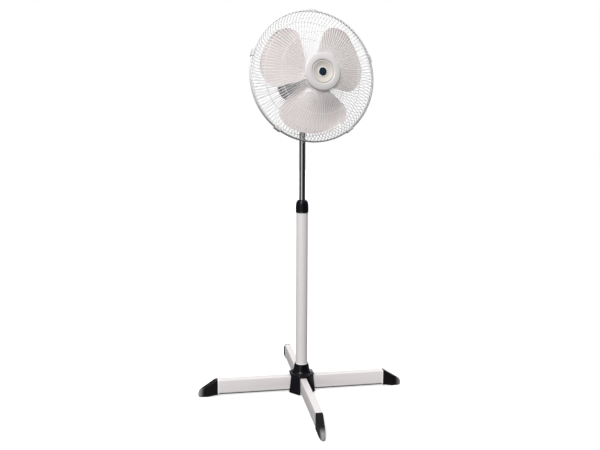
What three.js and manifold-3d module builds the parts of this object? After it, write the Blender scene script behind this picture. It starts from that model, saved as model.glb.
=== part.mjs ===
// Pedestal fan with a crossed-bar foot: 400 mm wire guard, three-blade impeller, telescopic mast.
// Millimetres, +Z up. The origin is on the mast axis at floor level; the foot bars lie along X and Y,
// the fan faces -Y when its swing is centred, and it is drawn swung and tilted by REST_SWING and REST_TILT.
import * as THREE from "three";
import { mergeVertices } from "three/addons/utils/BufferGeometryUtils.js";
import Module from "manifold-3d";

const wasm = await Module();
wasm.setup();

// ---------------------------------------------------------------- driving dimensions
const GAP = 0.3; // clearance between touching pieces
const REST_SWING = 10.1; // degrees, about the swivel pin, + turns the face towards +X
const REST_TILT = 6.5; // degrees, + turns the face upwards

// Foot
const BAR_HALF = 277; // mast axis to the bar's cut end
const CAP_TIP = 340; // mast axis to the end cap's tip
const BAR_W = 21;
const BAR_H = 50;
const BAR_Z = 5; // underside of the bars above the floor
const BAR_WALL = 1.5;
const FOOT_BOLT_R = 4;
const BAR_TOP = BAR_Z + BAR_H;
const HUB_TOP = BAR_TOP + 4;
const COVER_TOP = 95; // top of the hub cover's cup

// Mast
const POLE_R = 19;
const POLE_BORE = POLE_R - 1.5; // radius
const POLE_TOP = 600;
const TUBE_R = 10;
const TUBE_WALL = 1.2;
const TUBE_BOTTOM = 430;
const COLLAR_BOTTOM = 596.5;
const COLLAR_TOP = 637;
const COLLAR_R = 21;

// Head: the tilt pivot is on the mast axis, and the motor's axis is AXIS_UP above it.
const PIVOT_Z = 930.3;
const AXIS_UP = 84;
const RIM_FORWARD = 94.9; // swivel axis to the plane where the two guards meet
const TUBE_TOP = PIVOT_Z - 22;
const TILT_BOLT_R = 3;
const SWIVEL_PIN_R = 5;

// Guards: the wires follow a profile of radius r and distance f in front of the rim plane.
const GUARD_WIRES = 40;
const RIM_R = 198.4; // centre of a rim wire
const RIM_HALF = 2.3; // half the rim wire's thickness
const RIM_F = 2.9; // rim wire's centre in front of, or behind, the rim plane
const CLIPS = 5;
const CLIP_W = 22;

// Impeller
const BLADES = 3;
const BLADE_R = 172;
const BLADE_HUB_R = 27;
const BLADE_T = 2;
const SHAFT_R = 4;

// Motor housing
const HOUSING_R = 60;
const HOUSING_WALL = 2.2;
const HOUSING_FRONT = -22; // along the motor's axis, from the swivel axis, + is to the rear
const HOUSING_SPLIT = 30;
const HOUSING_REAR = 106;

// Swing drive, under and behind the motor. Positions are (x, y) from the swivel axis.
const SWING_HALF = 40; // the drive swings the head this far each way
const ANCHOR = { x: -18, y: 0 }; // link's fixed pin on the neck
const CRANK = { x: -10, y: 66 };
const CRANK_R = 11.6;
const LINK_PIN_R = 1.8;
const GLAND = { x: 10, y: 88 };
const CRANK_TURN = 180 - (90 / SWING_HALF) * REST_SWING; // crank pin's bearing at rest, in degrees
const SPINDLE = { x: 15, y: 68 };
const WORM_WHEEL_R = 10.2;
const PINION_R = 5.5;
const CRANK_GEAR_R = 19.3;

// ---------------------------------------------------------------- colours
const paint = (color, roughness, metalness) => new THREE.MeshStandardMaterial({ color, roughness, metalness });
const WHITE_PAINT = () => paint(0xd9d5d3, 0.4, 0.1);
const WHITE_PLASTIC = () => paint(0xe4e1df, 0.5, 0);
const BLADE_PLASTIC = () => paint(0xdcd4d3, 0.35, 0);
const BLACK_PLASTIC = () => paint(0x17151a, 0.45, 0);
const CHROME = () => paint(0xc9cacc, 0.12, 1);
const STEEL = () => paint(0x9a9ca0, 0.35, 0.9);
const BRASS = () => paint(0xb5904a, 0.35, 0.9);
const COPPER = () => paint(0xa8602f, 0.45, 0.7);
const NYLON = () => paint(0xefe9dc, 0.55, 0);
const BADGE_BLUE = () => paint(0x122433, 0.35, 0);

// ---------------------------------------------------------------- solids
const rad = THREE.MathUtils.degToRad;
const v2 = (x, y) => new THREE.Vector2(x, y);

function toSolid(geometry) {
  const bare = (geometry.index ? geometry.toNonIndexed() : geometry).clone();
  bare.deleteAttribute("normal");
  bare.deleteAttribute("uv");
  const merged = mergeVertices(bare, 1e-4);
  const kept = [];
  const index = merged.index.array;
  for (let i = 0; i < index.length; i += 3) {
    const [a, b, c] = [index[i], index[i + 1], index[i + 2]];
    if (a !== b && b !== c && c !== a) kept.push(a, b, c);
  }
  return new wasm.Manifold(
    new wasm.Mesh({
      numProp: 3,
      vertProperties: new Float32Array(merged.attributes.position.array),
      triVerts: new Uint32Array(kept),
    }),
  );
}

function toGeometry(solid) {
  const mesh = solid.getMesh();
  const geometry = new THREE.BufferGeometry();
  geometry.setAttribute("position", new THREE.BufferAttribute(new Float32Array(mesh.vertProperties), 3));
  geometry.setIndex(new THREE.BufferAttribute(new Uint32Array(mesh.triVerts), 1));
  geometry.computeVertexNormals();
  return geometry;
}

// First geometry, with every geometry of `add` joined on and then every geometry of `cut` taken away.
function combine(first, { add = [], cut = [] }) {
  let solid = toSolid(first);
  for (const geometry of add) solid = solid.add(toSolid(geometry));
  for (const geometry of cut) solid = solid.subtract(toSolid(geometry));
  return toGeometry(solid);
}

// Unindexed closed geometry with its faces turned outwards.
function facingOut(geometry) {
  const p = geometry.getAttribute("position").array;
  const corner = (i) => new THREE.Vector3(p[i], p[i + 1], p[i + 2]);
  let volume = 0;
  for (let i = 0; i < p.length; i += 9) volume += corner(i).dot(corner(i + 3).cross(corner(i + 6)));
  if (volume > 0) return geometry;
  const turnedPositions = new Float32Array(p);
  for (let i = 0; i < p.length; i += 9) {
    turnedPositions.set(p.subarray(i + 3, i + 6), i + 6);
    turnedPositions.set(p.subarray(i + 6, i + 9), i + 3);
  }
  return new THREE.BufferGeometry().setAttribute("position", new THREE.BufferAttribute(turnedPositions, 3));
}

// Body of revolution about +Z from [radius, z] pairs, which close on themselves or on the axis.
function turned(profile, segments = 32) {
  const geometry = new THREE.LatheGeometry(
    profile.map(([r, z]) => v2(r, z)),
    segments,
  );
  return geometry.rotateX(Math.PI / 2);
}

// Ring of rectangular section about +Z.
function ring(inner, outer, z0, z1, segments = 28) {
  return turned([[inner, z0], [outer, z0], [outer, z1], [inner, z1], [inner, z0]], segments);
}

function rod(radius, z0, z1, segments = 24) {
  return turned([[0, z0], [radius, z0], [radius, z1], [0, z1]], segments);
}

function block(x0, x1, y0, y1, z0, z1) {
  const geometry = new THREE.BoxGeometry(x1 - x0, y1 - y0, z1 - z0);
  return geometry.translate((x0 + x1) / 2, (y0 + y1) / 2, (z0 + z1) / 2);
}

// Outline [x, y] pairs extruded along +Z from z0 to z1.
function plate(outline, z0, z1, holes = []) {
  const shape = new THREE.Shape(outline.map(([x, y]) => v2(x, y)));
  for (const hole of holes) shape.holes.push(new THREE.Path(hole.map(([x, y]) => v2(x, y))));
  return new THREE.ExtrudeGeometry(shape, { depth: z1 - z0, bevelEnabled: false }).translate(0, 0, z0);
}

function arcPoints(cx, cy, radius, from, to, steps) {
  return Array.from({ length: steps + 1 }, (_, i) => {
    const a = rad(from + ((to - from) * i) / steps);
    return [cx + radius * Math.cos(a), cy + radius * Math.sin(a)];
  });
}

function roundedRectangle(width, height, radius, steps = 3) {
  const [x, y] = [width / 2 - radius, height / 2 - radius];
  return [
    ...arcPoints(x, y, radius, 0, 90, steps),
    ...arcPoints(-x, y, radius, 90, 180, steps),
    ...arcPoints(-x, -y, radius, 180, 270, steps),
    ...arcPoints(x, -y, radius, 270, 360, steps),
  ];
}

// Straight arm with round ends, from one centre to the other.
function armOutline(from, to, radiusFrom, radiusTo, steps = 6) {
  const bearing = THREE.MathUtils.radToDeg(Math.atan2(to.y - from.y, to.x - from.x));
  return [
    ...arcPoints(from.x, from.y, radiusFrom, bearing + 90, bearing + 270, steps),
    ...arcPoints(to.x, to.y, radiusTo, bearing - 90, bearing + 90, steps),
  ];
}

// A gear blank with short square teeth.
function gear(radius, teeth, z0, z1, bore) {
  const outline = [];
  for (let i = 0; i < teeth; i++) {
    for (const [share, r] of [[0, radius - 1.2], [0.25, radius], [0.5, radius], [0.75, radius - 1.2]]) {
      const a = ((i + share) / teeth) * 2 * Math.PI;
      outline.push([r * Math.cos(a), r * Math.sin(a)]);
    }
  }
  return plate(outline, z0, z1, bore ? [arcPoints(0, 0, bore, 360, 0, 12).slice(1)] : []);
}

const group = new THREE.Group();

function named(parent, name, geometry, material) {
  const mesh = new THREE.Mesh(geometry, material);
  mesh.name = name;
  parent.add(mesh);
  return mesh;
}

// ---------------------------------------------------------------- foot
// Rounded rectangular tube along X, half-lapped at the middle so that two of them cross flush.
function footBar(keepsTop) {
  const section = roundedRectangle(BAR_H, BAR_W, 4);
  const bore = roundedRectangle(BAR_H - 2 * BAR_WALL, BAR_W - 2 * BAR_WALL, 2.5).reverse();
  const tube = plate(section, -BAR_HALF, BAR_HALF, [bore]).rotateY(Math.PI / 2);
  tube.translate(0, 0, BAR_Z + BAR_H / 2);
  const half = BAR_W / 2 + GAP;
  const middle = BAR_Z + BAR_H / 2;
  const notch = keepsTop
    ? block(-half, half, -BAR_W, BAR_W, BAR_Z - 1, middle + GAP / 2)
    : block(-half, half, -BAR_W, BAR_W, middle - GAP / 2, BAR_TOP + 1);
  return combine(tube, { cut: [notch, rod(FOOT_BOLT_R + 0.4, 0, 100, 16)] });
}

// Wedge that closes a bar's end and stands on the floor; drawn along +X.
function endCap() {
  const side = [
    [BAR_HALF + GAP, BAR_Z],
    [BAR_HALF + 22, BAR_Z],
    [BAR_HALF + 27, 0],
    [CAP_TIP - 3, 0],
    [CAP_TIP, 3],
    [CAP_TIP, 17],
    [CAP_TIP - 4, 23.5],
    [BAR_HALF + 8, BAR_TOP],
    [BAR_HALF + GAP, BAR_TOP + 0.6],
  ];
  const wedge = plate(side, -BAR_W / 2 - 0.4, BAR_W / 2 + 0.4).rotateX(Math.PI / 2);
  const half = BAR_W / 2 + 0.4;
  const tipHalf = 7.2;
  const plan = [
    [BAR_HALF - 20, -half],
    [BAR_HALF + 4, -half],
    ...arcPoints(CAP_TIP - 7, 0, tipHalf, -82, 82, 8),
    [BAR_HALF + 4, half],
    [BAR_HALF - 20, half],
  ];
  const envelope = toSolid(plate(plan, -1, 100));
  const inner = BAR_W / 2 - BAR_WALL - GAP;
  const [low, high] = [BAR_Z + BAR_WALL + 2.5, BAR_TOP - BAR_WALL - 2.5];
  const plug = block(BAR_HALF - 14, BAR_HALF + 2, -inner, inner, low, high);
  return toGeometry(toSolid(wedge).intersect(envelope).add(toSolid(plug)));
}

// Eight-sided outline: narrow sides across the bars, wide ones between them.
function hubOutline(reach, half) {
  return [
    [reach, -half], [reach, half], [half, reach], [-half, reach],
    [-reach, half], [-reach, -half], [-half, -reach], [half, -reach],
  ];
}

// Frustum between two hub outlines.
function hubFrustum(low, high, z0, z1) {
  const positions = [...low.map(([x, y]) => [x, y, z0]), ...high.map(([x, y]) => [x, y, z1])];
  const n = low.length;
  const index = [];
  for (let i = 0; i < n; i++) {
    const j = (i + 1) % n;
    index.push(i, j, n + j, i, n + j, n + i);
  }
  for (let i = 1; i < n - 1; i++) index.push(0, i + 1, i, n, n + i, n + i + 1);
  const geometry = new THREE.BufferGeometry();
  geometry.setAttribute("position", new THREE.BufferAttribute(new Float32Array(positions.flat()), 3));
  geometry.setIndex(index);
  return geometry.toNonIndexed();
}

// Bell over the crossing, slotted for the four arms of the foot.
function baseHub() {
  const outer = hubFrustum(hubOutline(43, 16), hubOutline(37, 14), 1.5, HUB_TOP);
  const inner = hubFrustum(hubOutline(40, 14.6), hubOutline(34.4, 12.8), 0, BAR_TOP + 1);
  const slot = BAR_W / 2 + 0.5;
  return combine(outer, {
    cut: [
      inner,
      block(-60, 60, -slot, slot, 0, BAR_TOP + 0.6),
      block(-slot, slot, -60, 60, 0, BAR_TOP + 0.6),
      rod(POLE_R + 0.4, HUB_TOP - 5, HUB_TOP + 5),
    ],
  });
}

// Flange and cup that slide down the pole and hide the joint.
function hubCover() {
  const z = HUB_TOP + GAP;
  const flange = hubFrustum(hubOutline(39.5, 15), hubOutline(37, 14), z, z + 5.5);
  const cup = turned([
    [0, z], [33, z], [33, z + 6], [29, z + 8], [27, z + 11], [24.6, z + 24], [22.8, COVER_TOP - 1.5],
    [21.6, COVER_TOP], [0, COVER_TOP],
  ], 28);
  return combine(flange, { add: [cup], cut: [rod(POLE_R + 0.4, 0, 200, 28)] });
}

const foot = new THREE.Group();
group.add(foot);
named(foot, "foot_bar_side", footBar(false), WHITE_PAINT());
named(foot, "foot_bar_front", footBar(true), WHITE_PAINT()).rotation.z = Math.PI / 2;
const CAP_BEARINGS = { right: 0, rear: 90, left: 180, front: 270 };
for (const [place, bearing] of Object.entries(CAP_BEARINGS)) {
  named(foot, `end_cap_${place}`, endCap(), BLACK_PLASTIC()).rotation.z = rad(bearing);
}
named(foot, "base_hub", baseHub(), BLACK_PLASTIC());
named(foot, "hub_cover", hubCover(), BLACK_PLASTIC());

// Bolt up through the crossing into the pole plug.
const hexagon = (acrossFlats) => arcPoints(0, 0, acrossFlats / Math.sqrt(3), 0, 300, 5);
const footBolt = combine(plate(hexagon(13), 1, BAR_Z - GAP), { add: [rod(FOOT_BOLT_R, 2, 88, 16)] });
named(foot, "base_bolt", footBolt, STEEL());
named(foot, "pole_plug", ring(FOOT_BOLT_R + GAP, POLE_BORE - GAP, BAR_TOP + GAP, 92, 24), NYLON());

// ---------------------------------------------------------------- pole and collar
named(foot, "lower_pole", ring(POLE_BORE, POLE_R, BAR_TOP + GAP, POLE_TOP, 32), WHITE_PAINT());

// Split clamping bush, pressed into the pole's mouth; the collar squeezes its upper cone.
function clampBush() {
  const body = turned([
    [TUBE_R + 0.25, 566], [POLE_BORE - GAP, 566], [POLE_BORE - GAP, POLE_TOP + GAP], [POLE_R, POLE_TOP + GAP],
    [POLE_R, 603], [15.6, 603], [15.6, 619], [12.6, 623.6], [TUBE_R + 0.25, 623.6], [TUBE_R + 0.25, 566],
  ], 24);
  return combine(body, { cut: [block(-0.8, 0.8, -30, 30, 606, 630), block(-30, 30, -0.8, 0.8, 606, 630)] });
}

function heightCollar() {
  return turned([
    [POLE_R + 0.4, COLLAR_BOTTOM], [COLLAR_R - 0.6, COLLAR_BOTTOM], [COLLAR_R, COLLAR_BOTTOM + 3],
    [COLLAR_R + 0.2, 612], [COLLAR_R - 0.8, 625], [COLLAR_R - 4, 634], [COLLAR_R - 7, COLLAR_TOP],
    [TUBE_R + 0.6, COLLAR_TOP], [TUBE_R + 0.6, 626], [16, 622], [16, 603.6], [POLE_R + 0.4, 603.6],
    [POLE_R + 0.4, COLLAR_BOTTOM],
  ], 32);
}

named(foot, "clamp_bush", clampBush(), NYLON());
named(group, "height_collar", heightCollar(), BLACK_PLASTIC());

// ---------------------------------------------------------------- telescopic tube and neck
const EAR_R = 10;
const TONGUE_HALF = 10.7;
const EAR_T = 5;

function neckSocket() {
  const ears = [-1, 1].map((side) => {
    const x = side * (TONGUE_HALF + GAP);
    const [x0, x1] = [Math.min(x, x + side * EAR_T), Math.max(x, x + side * EAR_T)];
    const outline = [
      [-EAR_R, PIVOT_Z - 24],
      [EAR_R, PIVOT_Z - 24],
      ...arcPoints(0, PIVOT_Z, EAR_R, 0, 180, 8),
    ];
    return plate(outline, x0, x1).rotateX(Math.PI / 2).rotateZ(Math.PI / 2);
  });
  const body = turned([
    [0, PIVOT_Z - 38], [13.6, PIVOT_Z - 38], [15, PIVOT_Z - 36], [16.4, PIVOT_Z - 18], [16.4, PIVOT_Z - 13],
    [0, PIVOT_Z - 13],
  ], 24);
  return combine(body, {
    add: ears,
    cut: [
      rod(TUBE_R + GAP, PIVOT_Z - 60, TUBE_TOP + GAP),
      rod(TILT_BOLT_R + GAP, -60, 60, 12).rotateY(Math.PI / 2).translate(0, 0, PIVOT_Z),
      rod(2.3, 0, 40, 12).rotateX(-Math.PI / 2).translate(0, 0, PIVOT_Z - 30),
    ],
  });
}

// Thumb knob with lobes; drawn with its axis along +Z from z = 0.
function lobedKnob(radius, lobes, depth, height) {
  const outline = [];
  const steps = lobes * 4;
  for (let i = 0; i < steps; i++) {
    const a = (i / steps) * 2 * Math.PI;
    const r = radius + depth * Math.cos(lobes * a);
    outline.push([r * Math.cos(a), r * Math.sin(a)]);
  }
  return plate(outline, 0, height);
}

const mast = new THREE.Group();
group.add(mast);
named(mast, "upper_tube", ring(TUBE_R - TUBE_WALL, TUBE_R, TUBE_BOTTOM, TUBE_TOP, 24), CHROME());
const tubeGuide = ring(TUBE_R + GAP, POLE_BORE - 0.35, TUBE_BOTTOM + 2, TUBE_BOTTOM + 26, 24);
named(mast, "tube_guide", tubeGuide, NYLON());
named(mast, "neck_socket", neckSocket(), WHITE_PLASTIC());
named(mast, "neck_screw", rod(2, 10.4, 19, 12).rotateX(-Math.PI / 2).translate(0, 0, PIVOT_Z - 30), STEEL());

const EAR_OUTER = TONGUE_HALF + GAP + EAR_T;
const BOLT_HEAD_T = 4;
const boltHead = plate(hexagon(10), -EAR_OUTER - GAP - BOLT_HEAD_T, -EAR_OUTER - GAP);
const tiltBolt = combine(boltHead, { add: [rod(TILT_BOLT_R, -EAR_OUTER - 2, EAR_OUTER + 9.5, 12)] });
named(mast, "tilt_bolt", tiltBolt, STEEL());
mast.getObjectByName("tilt_bolt").rotation.y = Math.PI / 2;
mast.getObjectByName("tilt_bolt").position.z = PIVOT_Z;

const tiltKnob = combine(lobedKnob(11, 5, 1.4, 8), {
  add: [rod(7, -3, 10, 20)],
  cut: [rod(TILT_BOLT_R + GAP, -4, 7, 16)],
});
named(group, "tilt_knob", tiltKnob, BLACK_PLASTIC());
group.getObjectByName("tilt_knob").rotation.y = Math.PI / 2;
group.getObjectByName("tilt_knob").position.set(EAR_OUTER + GAP + 3, 0, PIVOT_Z);

// ---------------------------------------------------------------- tilting neck: origin at the tilt pivot
const TAB_Z = 10.6;
const LINK_Z = 14.3;
const PLATFORM_Z = 17.5;
const BOSS_Z = 21.9;

const neck = new THREE.Group();
neck.position.z = PIVOT_Z;
neck.rotation.x = -rad(REST_TILT);
group.add(neck);

function tiltBracket() {
  const tongue = rod(9.5, -TONGUE_HALF, TONGUE_HALF, 20).rotateY(Math.PI / 2);
  const tab = plate(armOutline({ x: 0, y: 0 }, ANCHOR, 12, 5.5), TAB_Z, LINK_Z - 0.5);
  return combine(tongue, {
    add: [rod(9, 0, PLATFORM_Z + 1, 20), tab, rod(15, PLATFORM_Z, BOSS_Z - 0.4)],
    cut: [
      rod(TILT_BOLT_R + GAP, -60, 60, 12).rotateY(Math.PI / 2),
      rod(SWIVEL_PIN_R + GAP, 9, 60, 16),
      rod(LINK_PIN_R + GAP, 0, 16, 12).translate(ANCHOR.x, ANCHOR.y, 0),
    ],
  });
}

named(neck, "tilt_bracket", tiltBracket(), WHITE_PLASTIC());
named(neck, "swivel_pin", rod(SWIVEL_PIN_R, 9.4, 38.4, 16), STEEL());
named(neck, "link_anchor_pin", rod(LINK_PIN_R, TAB_Z + 0.2, PLATFORM_Z - 0.2, 12), STEEL());
neck.getObjectByName("link_anchor_pin").position.set(ANCHOR.x, ANCHOR.y, 0);

// ---------------------------------------------------------------- swinging head: origin at the tilt pivot
const head = new THREE.Group();
head.rotation.z = rad(REST_SWING);
neck.add(head);

// Geometry turned about +Z is laid along the motor's axis: its +Z becomes +Y, towards the rear.
const alongAxis = (geometry) => geometry.rotateX(-Math.PI / 2).translate(0, 0, AXIS_UP);

// Cast bracket: swivel boss, arm under the motor, and the plate behind the stator that the gearbox stands on.
function motorBracket() {
  const boss = rod(10, BOSS_Z, 39, 24);
  const arm = block(-9, 9, -4, 44, 29, 39);
  const upright = block(-28, 28, 40, 43.5, 36, 122);
  return combine(boss, {
    add: [arm, upright],
    cut: [rod(SWIVEL_PIN_R + GAP, 0, 60, 16), alongAxis(rod(9.2, 30, 60, 20))],
  });
}

// Vent slots round a housing: `count` radial cutters, `from` to `to` along the axis, skipping the underside.
function ventCutters(count, from, to, width, reach) {
  const cutters = [];
  for (let i = 0; i < count; i++) {
    const bearing = (i * 360) / count;
    if (Math.abs(bearing - 270) < 31) continue;
    const cutter = block(reach - 16, reach + 4, -width / 2, width / 2, from, to);
    cutters.push(alongAxis(cutter.rotateZ(-rad(bearing))));
  }
  return cutters;
}

function housingFront() {
  const [r, w, y0, y1] = [HOUSING_R, HOUSING_WALL, HOUSING_FRONT, HOUSING_SPLIT];
  const shell = turned([
    [22.4, y0], [r - 8, y0], [r, y0 + 9], [r, y1], [r - w, y1], [r - w, y0 + 10], [r - 9, y0 + w],
    [22.4, y0 + w], [22.4, y0],
  ], 32);
  return combine(alongAxis(shell), {
    cut: [...ventCutters(12, y0 + 14, y1 - 12, 5, r), rod(16.5, 0, 40, 24)],
  });
}

function housingRear() {
  const [r, w, y0, y1] = [HOUSING_R, HOUSING_WALL, HOUSING_SPLIT + GAP, HOUSING_REAR];
  const shell = turned([
    [r - w, y0], [r, y0], [r - 1, y0 + 40], [r - 6, y0 + 58], [r - 16, y1 - 5], [r - 28, y1], [6, y1],
    [6, y1 - w], [r - 28.6, y1 - w], [r - 18, y1 - w - 5], [r - w - 6.2, y0 + 57], [r - w - 1, y0 + 39],
    [r - w, y0],
  ], 32);
  return combine(alongAxis(shell), {
    cut: [
      ...ventCutters(12, y0 + 14, y0 + 40, 5, r),
      rod(3, AXIS_UP, 200, 12).translate(SPINDLE.x, SPINDLE.y, 0),
      rod(5, 0, 60, 16).translate(CRANK.x, CRANK.y, 0),
      rod(4.8, 0, 40, 12).translate(GLAND.x, GLAND.y, 0),
    ],
  });
}

named(head, "motor_bracket", motorBracket(), STEEL());
named(head, "motor_housing_front", housingFront(), WHITE_PLASTIC());
named(head, "motor_housing_rear", housingRear(), WHITE_PLASTIC());

// Threaded nose that carries the front bearing and the rear guard.
const nose = turned([
  [6.4, -38], [18, -38], [20, -36], [20, HOUSING_FRONT - GAP], [22, HOUSING_FRONT - GAP], [22, -10],
  [40, -10], [40, -7], [6.4, -7], [6.4, -38],
], 28);
named(head, "motor_nose", alongAxis(nose), STEEL());
named(head, "stator_core", alongAxis(ring(27, 44, -4, 22)), STEEL());
const winding = turned([[28, 22.4], [41, 22.4], [42, 27], [38, 33], [31, 33], [28, 28], [28, 22.4]], 20);
named(head, "stator_winding", alongAxis(winding), COPPER());
named(head, "front_bearing", alongAxis(ring(SHAFT_R + GAP, 6.1, -37, -20, 20)), BRASS());
named(head, "rear_bearing", alongAxis(ring(SHAFT_R + GAP, 8.7, 36.5, 43.6, 20)), BRASS());
named(head, "capacitor", block(-13, 13, -2, 30, AXIS_UP + 45, AXIS_UP + 55), BLACK_PLASTIC());

// Gearbox: open-topped case and its lid.
const BOX = { x0: -33, x1: 30, y0: 44, y1: 89, z0: 56, z1: 99 };
function gearCase() {
  const { x0, x1, y0, y1, z0, z1 } = BOX;
  return combine(block(x0, x1, y0, y1, z0, z1), {
    cut: [
      block(x0 + 2.5, x1 - 2.5, y0 + 1.9, y1 - 1.9, z0 + 2.5, z1 + 1),
      alongAxis(rod(6, y0 - 5, y0 + 5, 16)),
      rod(4.4, 0, z0 + 5, 16).translate(CRANK.x, CRANK.y, 0),
    ],
  });
}
named(head, "gearbox_case", gearCase(), NYLON());
const lid = combine(block(BOX.x0, BOX.x1, BOX.y0, BOX.y1, BOX.z1 + GAP, BOX.z1 + 3), {
  cut: [rod(2.4, 0, 200, 12).translate(SPINDLE.x, SPINDLE.y, 0)],
});
named(head, "gearbox_lid", lid, NYLON());
const SWITCH_STEM_R = 3;
named(head, "speed_switch", combine(block(-12, 12, 91, 102, AXIS_UP - 12, AXIS_UP + 12), {
  add: [alongAxis(rod(SWITCH_STEM_R, 100, 113, 12))],
}), BLACK_PLASTIC());
named(head, "cable_gland", combine(rod(3.9, 22, 37, 16), {
  add: [rod(6.5, 21, 24.5, 16)],
  cut: [rod(2.2, 0, 60, 12)],
}), BLACK_PLASTIC());
head.getObjectByName("cable_gland").position.set(GLAND.x, GLAND.y, 3.9);

// ---------------------------------------------------------------- guards
// Cage of radial wires crossed by rings, as one body.
// Each station is [r, f, half thickness, whether a ring joins it to the next].
function guardCage(stations, wireHalf) {
  const count = stations.length;
  const points = [];
  const index = [];
  const quad = (a, b, c, d) => index.push(a, b, c, a, c, d);
  const at = (wire, station, corner) => ((wire % GUARD_WIRES) * count + station) * 4 + corner;
  const direction = (s) => {
    const from = stations[s][3] || s === 0 ? s : s - 1;
    const to = stations[s - 1]?.[3] || s === count - 1 ? s : s + 1;
    const [a, b] = [stations[from], stations[to]];
    return v2(b[0] - a[0], b[1] - a[1]).normalize();
  };
  for (let wire = 0; wire < GUARD_WIRES; wire++) {
    const bearing = ((wire + 0.5) / GUARD_WIRES) * 2 * Math.PI;
    const [c, s] = [Math.cos(bearing), Math.sin(bearing)];
    stations.forEach(([r, f, thickness], station) => {
      const d = direction(station);
      for (const [side, level] of [[-1, -1], [1, -1], [1, 1], [-1, 1]]) {
        const radius = r + level * thickness * -d.y;
        const forward = f + level * thickness * d.x;
        const across = side * wireHalf;
        points.push(radius * c - across * s, -forward, radius * s + across * c);
      }
    });
    quad(at(wire, 0, 3), at(wire, 0, 2), at(wire, 0, 1), at(wire, 0, 0));
    quad(at(wire, count - 1, 0), at(wire, count - 1, 1), at(wire, count - 1, 2), at(wire, count - 1, 3));
    for (let station = 0; station < count - 1; station++) {
      const ringed = stations[station][3];
      for (let corner = 0; corner < 4; corner++) {
        if (ringed && corner % 2) continue;
        const next = (corner + 1) % 4;
        const [a, b] = [at(wire, station, corner), at(wire, station, next)];
        quad(a, b, at(wire, station + 1, next), at(wire, station + 1, corner));
      }
      if (!ringed) continue;
      const loop = (w, low, high) => [
        at(w, station, low), at(w, station, high), at(w, station + 1, high), at(w, station + 1, low),
      ];
      const near = loop(wire, 1, 2);
      const far = loop(wire + 1, 0, 3);
      for (let i = 0; i < 4; i++) quad(near[i], near[(i + 1) % 4], far[(i + 1) % 4], far[i]);
    }
  }
  const geometry = new THREE.BufferGeometry();
  geometry.setAttribute("position", new THREE.BufferAttribute(new Float32Array(points), 3));
  geometry.setIndex(index);
  return facingOut(geometry.toNonIndexed());
}

const FRONT_PROFILE = [
  [43, 70.5, 1.5, true], [47, 70.5, 1.5, false],
  [120.8, 60.5, 1.2, true], [123.4, 59.6, 1.2, false],
  [166, 45.6, 1.2, true], [168.2, 44, 1.2, false],
  [190, 20, 1.2, false],
  [RIM_R, RIM_F + RIM_HALF, RIM_HALF, true], [RIM_R, RIM_F - RIM_HALF, RIM_HALF, false],
];
const REAR_PROFILE = [
  [49.5, -71, 1.5, true], [53, -71, 1.5, false],
  [128.8, -67, 1.2, true], [131.4, -66.5, 1.2, false],
  [176, -50.6, 1.2, true], [177.8, -48.6, 1.2, false],
  [192, -22, 1.2, false],
  [RIM_R, -RIM_F - RIM_HALF, RIM_HALF, true], [RIM_R, -RIM_F + RIM_HALF, RIM_HALF, false],
];

// Cage coordinates have the rim plane at the origin and -Y forward.
const atRim = (geometry) => geometry.translate(0, -RIM_FORWARD, AXIS_UP);
named(head, "front_guard", atRim(guardCage(FRONT_PROFILE, 1.2)), WHITE_PAINT());
named(head, "rear_guard", atRim(guardCage(REAR_PROFILE, 1.2)), WHITE_PAINT());

// Pieces turned about +Z are laid forwards from the rim plane: their +Z becomes -Y.
const forwards = (geometry) => atRim(geometry.rotateX(Math.PI / 2));

// Pressed plate in the middle of the rear guard, and the nut that holds it on the motor's nose.
named(head, "guard_plate", forwards(ring(20.4, 49, -72, -70, 32)), WHITE_PAINT());
const nut = turned([
  [20.4, -69.5], [33, -69.5], [33, -66], [29, -62], [27, -57.5], [20.4, -57.5], [20.4, -69.5],
], 24);
named(head, "guard_nut", forwards(nut), WHITE_PLASTIC());

// Centre badge of the front guard: a dished disc, and the plain coloured disc on its boss.
const badge = turned([
  [0, 66], [30, 66], [30, 68.6], [41.5, 68.6], [41.5, 72.6], [55.6, 72.6], [56.2, 76.6], [54, 79.4],
  [39, 80.6], [35.4, 80], [33.6, 76.8], [19, 78.6], [15, 80], [14, 82.4], [0, 82.4],
], 32);
named(head, "guard_badge", forwards(badge), WHITE_PLASTIC());
const badgeDisc = turned([[0, 82.7], [12.4, 82.7], [11.4, 83.8], [0, 84.3]], 24);
named(head, "badge_disc", forwards(badgeDisc), BADGE_BLUE());

// ---------------------------------------------------------------- rim clips
// Each clip turns on the front rim wire and hooks behind the rear one. Drawn in (r, f), width across.
const CLIP_PIVOT_R = RIM_R * Math.cos(Math.PI / GUARD_WIRES);
function clipOutline() {
  const [inner, outer] = [3.6, 5.3];
  const tail = -2 * RIM_F - RIM_HALF - 1.6;
  return [
    ...arcPoints(0, 0, outer, 0, 130, 9),
    ...arcPoints(0, 0, inner, 130, 0, 7),
    [inner, tail],
    [0.9, tail],
    [0.9, tail - 2],
    [outer - 0.6, tail - 2],
    [outer, tail - 1.2],
  ];
}
for (let i = 0; i < CLIPS; i++) {
  const bearing = 90 + (360 / CLIPS) * i;
  const holder = new THREE.Group();
  holder.position.set(0, -RIM_FORWARD, AXIS_UP);
  holder.rotation.y = -rad(bearing);
  head.add(holder);
  const clip = plate(clipOutline(), -CLIP_W / 2, CLIP_W / 2).scale(1, -1, 1);
  const mesh = named(holder, `guard_clip_${i + 1}`, facingOut(clip), WHITE_PLASTIC());
  mesh.position.set(CLIP_PIVOT_R, -RIM_F, 0);
}

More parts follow.
